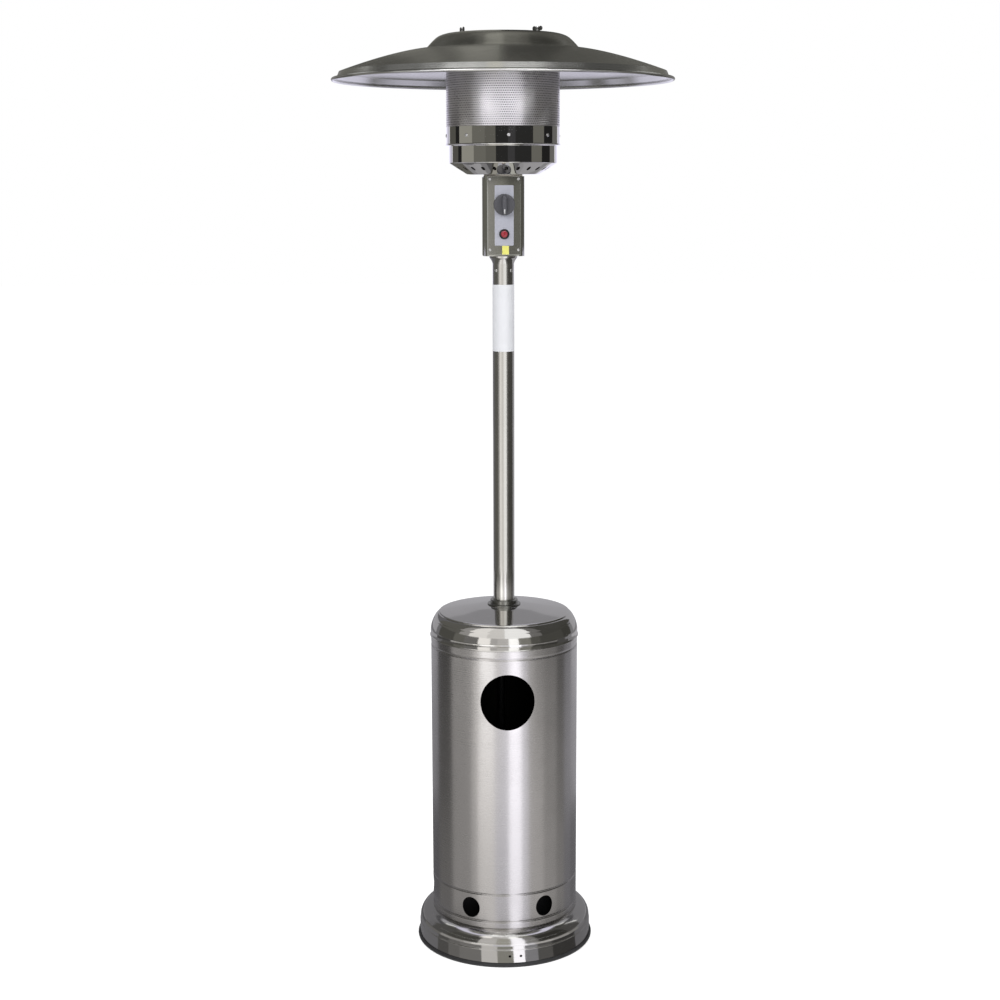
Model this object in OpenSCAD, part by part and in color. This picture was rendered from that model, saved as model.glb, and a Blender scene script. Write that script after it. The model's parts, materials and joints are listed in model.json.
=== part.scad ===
// Free-standing patio heater: a weighted base, a bottle housing that lifts up the pole,
// a control box, a gas burner inside a perforated emitter, and a spun reflector.
// Millimetres, +Z up, front at -Y, origin on the floor under the pole.

/* [Base] */
// Outer radius of the rubber edge that stands on the floor
base_r = 220.5; // [218:0.5:235]
// Height of the flat top of the base dish
base_h = 84.5; // [76:0.5:90]
// Radius of the rounded shoulder between skirt and top
base_shoulder_r = 34; // [24:1:36]
// Thickness of the pressed base sheet
base_sheet_t = 1.5; // [1:0.1:2]
// Thickness of the cast ballast plate
ballast_t = 10; // [8:1:16]
// Distance between the two bolt holes for a wheel kit
wheel_hole_pitch = 27; // [20:1:36]
// Sideways place of the middle of the two bolt holes
wheel_hole_x = 16; // [-30:1:30]
// Height of the two bolt holes
wheel_hole_z = 28; // [26:1:34]
// Radius of the two bolt holes
wheel_hole_r = 3.3; // [2.5:0.1:4]

/* [Legs and bracket] */
// Radius of the circle that the three legs stand on
leg_circle_r = 163; // [160:1:165]
// Radius of a leg tube
leg_r = 9.5; // [8:0.5:11]
// Wall of a leg tube
leg_wall = 1.5; // [1:0.1:2]
// Height of the leg tops
leg_top_z = 738; // [700:1:745]
// Thickness of the three-armed bracket
bracket_t = 4; // [3:0.5:6]
// Height of the bracket's sleeve round the pole
sleeve_h = 80; // [66:1:90]

/* [Bottle housing] */
// Outer radius of the housing shell
shell_r = 181.5; // [180:0.5:184]
// Thickness of the housing sheet
shell_t = 0.8; // [0.6:0.1:1]
// Height of the lower edge of the lid
lid_edge_z = 785; // [780:1:785]
// Height of the edge of the lid's flat top
lid_rim_z = 846; // [845:1:850]
// Height of the lid at the pole
lid_top_z = 862; // [860:1:870]
// Width of the lid's rounded shoulder
lid_shoulder_w = 20; // [16:1:26]
// Height of the lid's rounded shoulder
lid_shoulder_h = 40; // [30:1:40]
// Half the width of the access hole
access_half_w = 65.5; // [55:0.5:72]
// Half the height of the access hole
access_half_h = 69; // [55:0.5:72]
// Height of the middle of the access hole
access_z = 661; // [640:1:670]
// Half the width of a vent hole near the foot
vent_half_w = 24; // [18:0.5:26]
// Half the height of a vent hole
vent_half_h = 26; // [18:0.5:26]
// Height of the middle of the vent holes
vent_z = 134; // [132:1:140]
// Heights of the three rolled grooves
groove_z = [101.5, 171.5, 766];

/* [Pole] */
// Outer radius of the pole
pole_r = 26; // [24:0.1:27]
// Wall of the pole
pole_wall = 1.5; // [1:0.1:2]
// Height of the top of the pole
pole_top_z = 1700; // [1650:1:1705]
// Lower edge of the label wrapped round the pole
label_z = 1490; // [1487:1:1510]
// Height of the label wrapped round the pole
label_h = 160; // [80:1:165]

/* [Control box] */
// Width and depth of the control box
box_w = 98; // [96:1:104]
// Radius of the box's upright corners
box_corner_r = 18; // [12:1:24]
// Height of the underside of the box
box_z = 1719; // [1715:1:1725]
// Height of the top of the box
box_top_z = 1906; // [1900:1:1907]
// Width of the front cover
cover_w = 78; // [74:1:82]
// Width of the fascia plate
fascia_w = 45; // [44:1:52]
// Sideways place of the fascia, the knob and the igniter
panel_x = 0; // [-4:0.5:4]
// Lower edge of the fascia plate
fascia_z = 1744; // [1742:1:1750]
// Height of the fascia plate
fascia_h = 141; // [130:1:145]
// Height of the knob's centre
knob_z = 1840; // [1835:1:1845]
// Radius of the knob
knob_r = 25; // [20:0.5:27]
// Depth of the knob from back to grip
knob_d = 20; // [16:0.5:24]
// How far the knob pushes in
knob_travel = 4; // [3:0.5:4.5]
// Height of the igniter button
igniter_z = 1771; // [1768:1:1774]
// Radius of the igniter button
igniter_r = 8; // [6:0.5:8]
// How far the igniter button pushes in
igniter_travel = 6; // [4:0.5:7]

/* [Burner] */
// Outer radius of the burner bowl
bowl_r = 128; // [124:1:130]
// Radius of the bowl's flat underside
bowl_floor_r = 86; // [80:1:96]
// Height of the bowl's cone above its underside
bowl_cone_h = 26; // [22:1:30]
// Number of air slots round the bowl's cone
bowl_slots = 24; // [16:2:30]
// Half the width of an air slot
slot_half_w = 4.3; // [2.5:0.1:5]
// Half the length of an air slot
slot_half_l = 8; // [6:0.5:12]
// Outer radius of the emitter
emitter_r = 134.5; // [132:0.5:138]
// Height of the burner bowl
bowl_h = 71; // [66:1:74]
// Height where the emitter screen starts
screen_z = 2021; // [2015:1:2025]
// Height of the top of the emitter screen
screen_top_z = 2183; // [2170:1:2185]

/* [Reflector] */
// Outer radius of the reflector
dome_r = 404.5; // [402:0.5:408]
// Height of the reflector's flat top
dome_top_z = 2235; // [2230:1:2240]
// Thickness of the reflector sheet
dome_t = 1; // [0.8:0.1:1.5]
// Radius of the rolled hem at the reflector's rim
hem_r = 4; // [3:0.5:5]
// Radius of the circle that the wing nuts stand on
stud_circle_r = 102; // [95:1:106]

/* [Hidden] */
$fn = 96;

steel = [0.62, 0.60, 0.59];
polished = [0.72, 0.71, 0.68];
dark_steel = [0.33, 0.33, 0.30];
zinc = [0.75, 0.75, 0.74];
brass = [0.80, 0.64, 0.30];
rubber = [0.08, 0.08, 0.08];

shaft_gap = 0.05;
body_gap = 0.3;
cut = 1;

// Base heights and radii
skirt_r = base_r - 5;
trim_h = 10.5;
trim_wall = 0.9;
ballast_z = 3;
ballast_r = skirt_r - 10.5;
bolt_r = 4;
bolt_hole_r = 4.3;
bolt_head_r = 6.5;
bolt_head_h = 4.5;
leg_plug_h = 40;
leg_angles = [-175, -5, 90];

// Bracket and pole heights
bracket_z = leg_top_z;
pole_z = bracket_z + bracket_t;
sleeve_r = pole_r + 3.6;
bracket_arm_w = 24;
bracket_eye_r = 14;
bracket_hub_r = 55;
inlet_r = 10.9;
inlet_top_z = bracket_z + 12;
tail_r = 4;
tail_z = bracket_z - 20;
gas_tube_top_z = knob_z - 30;
clamp_screw_z = [pole_z + 23, pole_z + 58];
clamp_screw_angles = [50, 230];
neck_screw_z = pole_top_z - 16;
neck_screw_angles = [-135, -45, 45, 135];

// Housing heights and radii
shell_z = base_h + body_gap;
shell_top_z = lid_edge_z + 12;
lid_t = 0.9;
lid_r = shell_r + lid_t;
collar_bore_r = pole_r + 0.6;
collar_r = 34;
collar_flange_r = 41;
collar_h = 13;
lid_screw_angles = [30, 90, 150];
lid_bead = 1.6;
lid_screw_z = lid_edge_z + 8;

// Control box depths, measured towards the front
base_screw_angles = [90, 210, 330];
base_screw_circle_r = 26;
box_front = box_w / 2;
box_wall = 1.2;
cover_front = box_front + box_wall;
fascia_front = cover_front + 0.6;
knob_back = fascia_front + knob_travel + 1.2;
valve_front = 46;
spindle_r = 4;
spindle_end = 22.1;
plunger_r = 3;
cover_screw_x = 33.6;
cover_screw_z = [box_z + 15, box_top_z - 6.5];

// Burner parts
bowl_z = box_top_z + 4;
band_z = bowl_z + bowl_h;
mixer_r = 14;
head_z = 1992;
head_r = 62;
band_screw_z = 2000;
band_screw_angles = [for (i = [0:7]) 45 * i + 3];
pilot_place = [44, -60];
electrode_place = [58, -44];
thermocouple_place = [26, -72];

// Reflector outline
dome_flat_r = 112;
dome_kink_r = 183;
dome_kink_z = 2199;
skirt_drop = 52;
skirt_in_r = 190;
skirt_out_r = 386;
skirt_power = 1.38;
hem_z = 2129.5;
stud_angles = [-160.9, -40.9, 79.1];

// Points of an arc in the (radius, height) plane
function arc(centre, r, from, to, steps) =
    [for (i = [0:steps]) let (a = from + (to - from) * i / steps)
        centre + r * [cos(a), sin(a)]];

// Points of a rounded shoulder of unequal width and height
function shoulder(edge, w, h, power, steps) =
    [for (i = [0:steps]) let (a = 90 * i / steps)
        [edge[0] - w + w * pow(cos(a), 2 / power), edge[1] + h * pow(sin(a), 2 / power)]];

// The same points moved by a fixed step, in reverse order, for the other face of a sheet
function back_face(points, step) =
    [for (i = [len(points) - 1:-1:0]) points[i] + step];

// Outline of a sheet wall with rolled grooves at the given heights
function grooved_wall(r, z0, z1, grooves) =
    concat([[r, z0]],
        [for (g = grooves, p = [[0, -4], [-1.2, -1], [-1.2, 1], [0, 4]]) [r, g] + p],
        [[r, z1]]);

module ring(r_out, r_in, h) {
    difference() {
        cylinder(r = r_out, h = h);
        translate([0, 0, -cut]) cylinder(r = r_in, h = h + 2 * cut);
    }
}

// An oval bar that cuts an oval hole, built up from height 0
module oval(half_x, half_y, h, n = 96) {
    linear_extrude(h) scale([half_x, half_y]) circle(r = 1, $fn = n);
}

module around(angles, r) {
    for (a = angles) rotate([0, 0, a]) translate([r, 0, 0]) children();
}

// Turns a shape built upwards so that it points to the front from the origin
module to_front() {
    rotate([90, 0, 0]) children();
}

module rounded_square(w, r) {
    square([w - 2 * r, w], center = true);
    square([w, w - 2 * r], center = true);
    for (x = [-1, 1], y = [-1, 1]) translate([x, y] * (w / 2 - r)) circle(r = r);
}

module rounded_plate(w, r, h) {
    linear_extrude(h) rounded_square(w, r);
}

// A pan-head screw whose head's underside lies at height 0, with its shank below
module pan_screw(head_r, head_h, shank_r, shank_l) {
    cylinder(r1 = head_r, r2 = head_r * 0.72, h = head_h);
    translate([0, 0, -shank_l]) cylinder(r = shank_r, h = shank_l + 0.01);
}

module hex_bolt(shank_l) {
    cylinder(r = bolt_head_r, h = bolt_head_h, $fn = 6);
    translate([0, 0, -shank_l]) cylinder(r = bolt_r, h = shank_l + 0.01);
}

// Base

base_outline = concat(
    [[skirt_r, 3], [skirt_r, 44], [skirt_r - 0.7, 47]],
    arc([skirt_r - 1 - base_shoulder_r, base_h - base_shoulder_r], base_shoulder_r, 0, 90, 10));

module wheel_holes() {
    for (s = [-0.5, 0.5])
        translate([wheel_hole_x + s * wheel_hole_pitch, -base_r + 25, wheel_hole_z])
            to_front() cylinder(r = wheel_hole_r, h = 30);
}

module base_dish() {
    color(polished) difference() {
        rotate_extrude() polygon(concat([[0, 3]], base_outline, [[0, base_h]]));
        rotate_extrude() polygon(concat(
            [[0, 0], [skirt_r - base_sheet_t, 0], [skirt_r - base_sheet_t, 43]],
            arc([skirt_r - 1 - base_shoulder_r, base_h - base_shoulder_r],
                base_shoulder_r - base_sheet_t, 0, 90, 10),
            [[0, base_h - base_sheet_t]]));
        around(leg_angles, leg_circle_r) cylinder(r = bolt_hole_r, h = base_h + cut);
        wheel_holes();
    }
}

module base_edge_trim() {
    inner = skirt_r - base_sheet_t - trim_wall - 0.2;
    color(rubber) rotate_extrude() polygon([
        [inner, 0], [base_r - 4.5, 0], [base_r - 1.5, 1.5], [base_r, 5], [base_r, 8],
        [base_r - 1.5, 9.8], [skirt_r + 1, trim_h], [skirt_r + 0.2, trim_h],
        [skirt_r + 0.2, 2.8], [inner + trim_wall, 2.8], [inner + trim_wall, 9], [inner, 9]
    ]);
}

module ballast_plate() {
    color(dark_steel) difference() {
        translate([0, 0, ballast_z]) ring(ballast_r, 30, ballast_t);
        around(leg_angles, leg_circle_r) {
            cylinder(r = bolt_hole_r, h = 40);
            translate([0, 0, ballast_z - cut]) cylinder(r = 8, h = bolt_head_h + 0.5 + cut);
        }
    }
}

module ballast_spacers() {
    z = ballast_z + ballast_t;
    color(zinc) translate([0, 0, z]) around(leg_angles, leg_circle_r)
        ring(8, bolt_hole_r, base_h - base_sheet_t - z);
}

module wheel_mount_plate() {
    color(zinc) difference() {
        intersection() {
            translate([wheel_hole_x - 25, -base_r, wheel_hole_z - 9]) cube([50, 16, 18]);
            cylinder(r = skirt_r - base_sheet_t - 0.2, h = 100);
        }
        wheel_holes();
    }
}

module leg_bolts() {
    z = ballast_z + bolt_head_h + 0.5;
    color(zinc) around(leg_angles, leg_circle_r) translate([0, 0, z])
        mirror([0, 0, 1]) hex_bolt(base_h + 30 - z);
}

module support_leg(angle) {
    h = leg_top_z - base_h;
    color(dark_steel) around([angle], leg_circle_r) translate([0, 0, base_h]) difference() {
        cylinder(r = leg_r, h = h);
        translate([0, 0, leg_plug_h]) cylinder(r = leg_r - leg_wall, h = h - 2 * leg_plug_h);
        translate([0, 0, -cut]) cylinder(r = bolt_r + shaft_gap, h = h + 2 * cut);
    }
}

module support_leg_left() { support_leg(leg_angles[0]); }

module support_leg_right() { support_leg(leg_angles[1]); }

module support_leg_rear() { support_leg(leg_angles[2]); }

module bracket_outline() {
    circle(r = bracket_hub_r);
    for (a = leg_angles) rotate(a) {
        translate([0, -bracket_arm_w / 2]) square([leg_circle_r, bracket_arm_w]);
        translate([leg_circle_r, 0]) circle(r = bracket_eye_r);
    }
}

module pole_bracket() {
    color(dark_steel) difference() {
        union() {
            translate([0, 0, bracket_z]) linear_extrude(bracket_t) bracket_outline();
            translate([0, 0, pole_z - 1]) cylinder(r = sleeve_r, h = sleeve_h + 1);
        }
        translate([0, 0, pole_z]) cylinder(r = pole_r + shaft_gap, h = sleeve_h + cut);
        translate([0, 0, bracket_z - cut]) cylinder(r = inlet_r + shaft_gap, h = 10);
        translate([0, 0, bracket_z - cut]) around(leg_angles, leg_circle_r)
            cylinder(r = bolt_hole_r, h = 10);
        clamp_screw_holes();
    }
}

module bracket_bolts() {
    color(zinc) translate([0, 0, pole_z]) around(leg_angles, leg_circle_r) hex_bolt(32);
}

module clamp_screw_holes() {
    for (z = clamp_screw_z, a = clamp_screw_angles) rotate([0, 0, a]) translate([20, 0, z])
        rotate([0, 90, 0]) cylinder(r = 2.6, h = 20);
}

module pole_clamp_screws() {
    color(zinc) for (z = clamp_screw_z, a = clamp_screw_angles) rotate([0, 0, a])
        translate([sleeve_r, 0, z]) rotate([0, 90, 0]) pan_screw(4.5, 2.5, 2.5, 6);
}

// Bottle housing

module housing_shell() {
    wall = grooved_wall(shell_r, shell_z, shell_top_z, groove_z);
    color(steel) difference() {
        rotate_extrude() polygon(concat(wall, back_face(wall, [-shell_t, 0])));
        translate([0, -100, access_z]) to_front() oval(access_half_w, access_half_h, 100);
        for (i = [0:5]) rotate([0, 0, 60 * i + 30]) translate([0, -150, vent_z])
            to_front() oval(vent_half_w, vent_half_h, 60);
        lid_screw_holes();
    }
}

module lid_screw_holes() {
    for (a = lid_screw_angles) rotate([0, 0, a]) translate([170, 0, lid_screw_z])
        rotate([0, 90, 0]) cylinder(r = 1.7, h = 20);
}

module housing_lid() {
    edge_r = lid_r - lid_shoulder_w;
    top = concat(
        shoulder([lid_r, lid_rim_z - 4 - lid_shoulder_h], lid_shoulder_w, lid_shoulder_h,
            1.5, 12),
        [[edge_r - 0.8, lid_rim_z - 1.4], [edge_r - 3, lid_rim_z], [44, lid_top_z]]);
    bead = [[lid_r + lid_bead, lid_edge_z], [lid_r + lid_bead, lid_edge_z + 2],
        [lid_r, lid_edge_z + 4]];
    color(polished) difference() {
        rotate_extrude() polygon(concat(bead, top,
            [[collar_bore_r, lid_top_z], [collar_bore_r, lid_top_z - lid_t]],
            back_face(top, [-lid_t, -lid_t]), [[shell_r, lid_edge_z]]));
        lid_screw_holes();
    }
}

module lid_collar() {
    color(dark_steel) translate([0, 0, lid_top_z]) difference() {
        union() {
            cylinder(r = collar_flange_r, h = 3);
            cylinder(r = collar_r, h = collar_h);
        }
        translate([0, 0, -cut]) cylinder(r = collar_bore_r, h = collar_h + 2 * cut);
    }
}

module lid_screws() {
    color(zinc) for (a = lid_screw_angles) rotate([0, 0, a])
        translate([lid_r, 0, lid_screw_z]) rotate([0, 90, 0]) pan_screw(3.2, 1.4, 1.6, 5);
}

// Pole and gas line

module pole() {
    color(steel) difference() {
        translate([0, 0, pole_z]) ring(pole_r, pole_r - pole_wall, pole_top_z - pole_z);
        clamp_screw_holes();
        neck_screw_holes();
    }
}

module pole_label() {
    color("white") translate([0, 0, label_z]) ring(pole_r + 0.2, pole_r, label_h);
}

module gas_tube() {
    color(brass) translate([0, 0, inlet_top_z])
        ring(4.75, 3.5, gas_tube_top_z - inlet_top_z);
}

module gas_inlet() {
    color(brass) difference() {
        union() {
            translate([0, -6, tail_z]) to_front() cylinder(r = tail_r, h = 34);
            translate([0, -5, tail_z]) to_front() cylinder(r = tail_r + 2, h = 7);
            translate([0, 0, tail_z - 9]) cylinder(r = 9, h = 18);
            translate([0, 0, bracket_z - 12]) cylinder(r = 11, h = 9, $fn = 6);
            translate([0, 0, bracket_z - 4]) cylinder(r = 16, h = 4);
            translate([0, 0, bracket_z - 1])
                cylinder(r = inlet_r, h = inlet_top_z - bracket_z + 1);
        }
        translate([0, 0, tail_z]) cylinder(r = 2.5, h = 60);
        translate([0, 2.5, tail_z]) to_front() cylinder(r = 2.5, h = 50);
    }
}

module inlet_nut() {
    color(brass) translate([0, 0, pole_z]) difference() {
        cylinder(r = 16, h = 5, $fn = 6);
        translate([0, 0, -cut]) cylinder(r = inlet_r + shaft_gap, h = 5 + 2 * cut);
    }
}

module neck_screw_holes() {
    for (a = neck_screw_angles) rotate([0, 0, a]) translate([18, 0, neck_screw_z])
        rotate([0, 90, 0]) cylinder(r = 2.1, h = 20);
}

module neck_flange() {
    spigot_r = pole_r - pole_wall - shaft_gap;
    color(polished) difference() {
        rotate_extrude() polygon([
            [spigot_r - 2, pole_top_z - 40], [spigot_r, pole_top_z - 40],
            [spigot_r, pole_top_z], [pole_r, pole_top_z], [33, box_z - 7], [34, box_z - 5],
            [34, box_z], [8, box_z], [8, box_z - 6], [spigot_r - 2, box_z - 10]
        ]);
        neck_screw_holes();
        around(base_screw_angles, base_screw_circle_r) translate([0, 0, box_z - 12])
            cylinder(r = 1.7, h = 20);
    }
}

module neck_screws() {
    color(zinc) for (a = neck_screw_angles) rotate([0, 0, a])
        translate([pole_r, 0, neck_screw_z]) rotate([0, 90, 0]) pan_screw(4, 2, 2, 6);
}

// Control box

module control_base_plate() {
    color(zinc) translate([0, 0, box_z]) difference() {
        rounded_plate(box_w - 2 * box_wall - 0.2, box_corner_r - box_wall, 2);
        translate([0, 0, -cut]) cylinder(r = 8, h = 4);
        translate([0, 0, -cut]) around(base_screw_angles, base_screw_circle_r)
            cylinder(r = 1.7, h = 4);
    }
}

module base_plate_screws() {
    color(zinc) translate([0, 0, box_z + 2]) around(base_screw_angles, base_screw_circle_r)
        pan_screw(3.2, 2, 1.6, 11);
}

module control_housing() {
    window_w = 60;
    window_h = cover_screw_z[1] - cover_screw_z[0] - 12;
    color(dark_steel) difference() {
        translate([0, 0, box_z]) difference() {
            rounded_plate(box_w, box_corner_r, box_top_z - box_z);
            translate([0, 0, -cut]) rounded_plate(box_w - 2 * box_wall,
                box_corner_r - box_wall, box_top_z - box_z + 2 * cut);
        }
        translate([-window_w / 2, -box_w, cover_screw_z[0] + 6])
            cube([window_w, box_w - 10, window_h]);
        cover_screw_holes();
    }
}

module cover_screw_holes() {
    for (x = [-1, 1], z = cover_screw_z) translate([x * cover_screw_x, -40, z])
        to_front() cylinder(r = 1.6, h = 20);
}

module control_openings() {
    translate([panel_x, -40, knob_z]) to_front() cylinder(r = spindle_r + 2, h = 20);
    translate([panel_x, -40, igniter_z]) to_front() cylinder(r = igniter_r + 0.4, h = 20);
}

module control_front_cover() {
    color(dark_steel) difference() {
        translate([-cover_w / 2, -cover_front, box_z + 3])
            cube([cover_w, box_wall, box_top_z - box_z - 4]);
        cover_screw_holes();
        control_openings();
    }
}

module cover_screws() {
    color(zinc) for (x = [-1, 1], z = cover_screw_z)
        translate([x * cover_screw_x, -cover_front, z]) to_front() pan_screw(3.4, 1.6, 1.5, 6);
}

module control_fascia() {
    color([0.78, 0.77, 0.82]) difference() {
        translate([panel_x - fascia_w / 2, -fascia_front, fascia_z])
            cube([fascia_w, fascia_front - cover_front, fascia_h]);
        control_openings();
    }
}

module blank_tag() {
    color([0.90, 0.84, 0.24]) translate([panel_x - 5, -cover_front - 0.4, fascia_z - 21])
        cube([16, 0.4, 20.5]);
}

module gas_valve() {
    boss_r = 11;
    color(brass) difference() {
        union() {
            translate([panel_x - 16, -40, knob_z - 22]) cube([32, 28, 44]);
            translate([panel_x, -40 + cut, knob_z]) to_front()
                cylinder(r = boss_r, h = valve_front - 40 + cut);
            translate([-9, -30, knob_z - 34]) cube([18, 39, 14]);
            translate([0, 0, knob_z - 44]) cylinder(r = 8, h = 12);
            translate([-9, -30, knob_z + 20]) cube([18, 39, 10]);
        }
        translate([panel_x, -17, knob_z]) to_front()
            cylinder(r = spindle_r + shaft_gap, h = 40);
        translate([panel_x, 0, knob_z]) to_front()
            cylinder(r = plunger_r + shaft_gap, h = 30);
        translate([0, 0, knob_z - 45]) cylinder(r = 4.8, h = 16);
        translate([0, 0, knob_z + 22]) cylinder(r = 3.05, h = 20);
    }
}

module valve_plunger() {
    color(zinc) translate([panel_x, 2, knob_z]) to_front() cylinder(r = plunger_r, h = 24);
}

module valve_spindle() {
    color(zinc) translate([panel_x, -spindle_end, knob_z]) to_front()
        cylinder(r = spindle_r, h = knob_back + 14 - spindle_end);
}

module control_knob() {
    rim_h = 7;
    color([0.20, 0.20, 0.21]) translate([panel_x, -knob_back, knob_z]) to_front() difference() {
        union() {
            cylinder(r = knob_r, h = rim_h);
            translate([0, 0, rim_h]) cylinder(r1 = knob_r, r2 = knob_r - 2.5, h = 2);
            intersection() {
                translate([-5.5, -knob_r, rim_h]) cube([11, 2 * knob_r, knob_d - rim_h]);
                cylinder(r1 = knob_r, r2 = knob_r - 3, h = knob_d);
            }
        }
        translate([0, 0, -cut]) cylinder(r = spindle_r + shaft_gap, h = 15.5 + cut);
    }
}

module knob_pointer() {
    color("white") translate([panel_x, -knob_back - knob_d, knob_z - knob_r + 3.5])
        translate([-1.2, -0.4, 0]) cube([2.4, 0.4, 11]);
}

module igniter_bezel() {
    color(rubber) translate([panel_x, -fascia_front, igniter_z]) to_front() difference() {
        union() {
            cylinder(r = igniter_r + 4, h = 2);
            cylinder(r1 = igniter_r + 4, r2 = igniter_r + 2, h = 4);
        }
        translate([0, 0, -cut]) cylinder(r = igniter_r + 0.4, h = 4 + 2 * cut);
    }
}

module igniter_body() {
    color(rubber) translate([panel_x, 38 - box_front, igniter_z]) to_front() difference() {
        cylinder(r = igniter_r + 2, h = 38);
        translate([0, 0, 8]) cylinder(r = igniter_r + shaft_gap, h = 30 + cut);
    }
}

module igniter_button() {
    color([0.62, 0.08, 0.09]) translate([panel_x, -30, igniter_z]) to_front() {
        cylinder(r = igniter_r, h = fascia_front + igniter_travel - 30 + 2);
        translate([0, 0, fascia_front + igniter_travel - 28])
            cylinder(r1 = igniter_r, r2 = igniter_r - 2, h = 1.5);
    }
}

module tilt_switch() {
    color([0.85, 0.84, 0.80]) translate([30, 10, box_z + 2]) {
        cylinder(r = 9, h = 26);
        cylinder(r = 13, h = 2);
        translate([0, 0, 26]) cylinder(r = 3, h = 6);
    }
}

// Burner

module burner_mount_plate() {
    color(zinc) translate([0, 0, box_top_z - 2]) difference() {
        rounded_plate(box_w - 2 * box_wall - 0.2, box_corner_r - box_wall, 2);
        translate([0, 0, -cut]) cylinder(r = mixer_r + shaft_gap, h = 4);
    }
}

module bowl_gasket() {
    color([0.80, 0.78, 0.72]) translate([0, 0, box_top_z]) ring(46, 20, bowl_z - box_top_z);
}

module main_jet() {
    color(brass) translate([0, 0, knob_z + 30]) difference() {
        union() {
            cylinder(r = 6, h = 5, $fn = 6);
            cylinder(r = 4, h = 13);
            translate([0, 0, -6]) cylinder(r = 3, h = 7);
        }
        translate([0, 0, -7]) cylinder(r = 1, h = 30);
    }
}

module burner_tube() {
    tube_z = knob_z + 38;
    color(zinc) difference() {
        translate([0, 0, tube_z]) ring(mixer_r, mixer_r - 1.5, head_z - tube_z);
        for (a = [0, 90]) rotate([0, 0, a]) translate([-20, 0, tube_z + 12])
            rotate([0, 90, 0]) cylinder(r = 5, h = 40);
    }
}

module burner_bowl() {
    t = 1;
    rim_z = band_z - 2;
    cone_w = bowl_r - 1 - bowl_floor_r;
    cone_top_z = bowl_z + bowl_cone_h;
    slot_tilt = atan(cone_w / bowl_cone_h);
    outer = [[bowl_floor_r - 3, bowl_z], [bowl_floor_r, bowl_z + 0.8],
        [bowl_r - 1, cone_top_z], [bowl_r, cone_top_z + 1.4]];
    color(polished) difference() {
        rotate_extrude() polygon(concat([[mixer_r + 0.1, bowl_z]], outer,
            [[bowl_r, rim_z], [emitter_r + 2, rim_z], [emitter_r + 2, band_z],
             [bowl_r - t, band_z], [bowl_r - t, cone_top_z + 1.6]],
            [for (i = [2:-1:0]) outer[i] + [-0.5, 0.9] * t], [[mixer_r + 0.1, bowl_z + 0.9]]));
        for (i = [0:bowl_slots - 1]) rotate([0, 0, 360 * i / bowl_slots - 88.5])
            translate([bowl_floor_r + cone_w / 2, 0, bowl_z + bowl_cone_h / 2])
                rotate([0, 90 + slot_tilt, 0]) translate([0, 0, -6])
                    oval(slot_half_l, slot_half_w, 12, 32);
    }
}

module burner_head() {
    h = 20;
    color(dark_steel) difference() {
        rotate_extrude() polygon([
            [mixer_r - 1.5, head_z], [head_r - 10, head_z], [head_r, head_z + 8],
            [head_r, head_z + h], [0, head_z + h], [0, head_z + h - 1.5],
            [head_r - 1.5, head_z + h - 1.5], [head_r - 1.5, head_z + 9],
            [head_r - 10.6, head_z + 1.5], [mixer_r - 1.5, head_z + 1.5]
        ]);
        for (r = [20, 36, 52]) around([for (i = [0:7]) 45 * i + r], r)
            translate([0, 0, head_z + h - 4]) cylinder(r = 2, h = 8);
    }
}

module pilot_burner() {
    color(brass) translate([pilot_place[0], pilot_place[1], bowl_z + 1]) {
        cylinder(r = 6, h = 3);
        cylinder(r = 3, h = 100);
        translate([0, 0, 96]) cylinder(r = 5, h = 12);
    }
}

module ignition_electrode() {
    color("white") translate([electrode_place[0], electrode_place[1], bowl_z + 1]) {
        cylinder(r = 5, h = 3);
        cylinder(r = 3.5, h = 94);
        translate([0, 0, 94]) cylinder(r = 1, h = 16);
    }
}

module thermocouple() {
    color(brass) translate([thermocouple_place[0], thermocouple_place[1], bowl_z + 1]) {
        cylinder(r = 5, h = 4);
        cylinder(r = 1.6, h = 84);
        translate([0, 0, 84]) cylinder(r = 2.6, h = 24);
    }
}

module emitter_band() {
    color(polished) difference() {
        translate([0, 0, band_z]) ring(emitter_r, emitter_r - 1.2, screen_z - band_z);
        band_screw_holes();
    }
}

module band_screw_holes() {
    for (a = band_screw_angles) rotate([0, 0, a]) translate([125, 0, band_screw_z])
        rotate([0, 90, 0]) cylinder(r = 1.7, h = 20);
}

module band_screws() {
    color(zinc) for (a = band_screw_angles) rotate([0, 0, a])
        translate([emitter_r, 0, band_screw_z]) rotate([0, 90, 0]) pan_screw(4, 1.8, 1.6, 5);
}

module emitter_screen() {
    color([0.62, 0.60, 0.60]) translate([0, 0, screen_z])
        ring(emitter_r, emitter_r - 1, screen_top_z - screen_z);
}

module emitter_top_plate() {
    color(steel) difference() {
        translate([0, 0, screen_top_z]) cylinder(r = emitter_r, h = 2);
        translate([0, 0, screen_top_z - cut]) around(stud_angles, stud_circle_r)
            cylinder(r = 3.1, h = 4);
    }
}

// Reflector

dome_outline = concat(
    [[dome_flat_r, dome_top_z], [130, dome_top_z - 0.7],
     [142, dome_top_z - 3], [154, dome_top_z - 8], [166, dome_top_z - 18],
     [180, dome_kink_z + 3], [dome_kink_r, dome_kink_z]],
    [for (i = [0:12]) let (s = i / 12)
        [skirt_in_r + (skirt_out_r - skirt_in_r) * s,
         dome_kink_z - skirt_drop * pow(s, skirt_power)]],
    [[skirt_out_r + 5, hem_z + 5]]);

module reflector_dome() {
    color(dark_steel) difference() {
        rotate_extrude($fn = 180) polygon(concat([[0, dome_top_z]], dome_outline,
            arc([dome_r - hem_r, hem_z], hem_r, 100, -215, 20),
            back_face(dome_outline, [-0.6, -1] * dome_t), [[0, dome_top_z - dome_t]]));
        translate([0, 0, dome_top_z - 5]) around(stud_angles, stud_circle_r)
            cylinder(r = 3.3, h = 10);
    }
}

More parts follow.
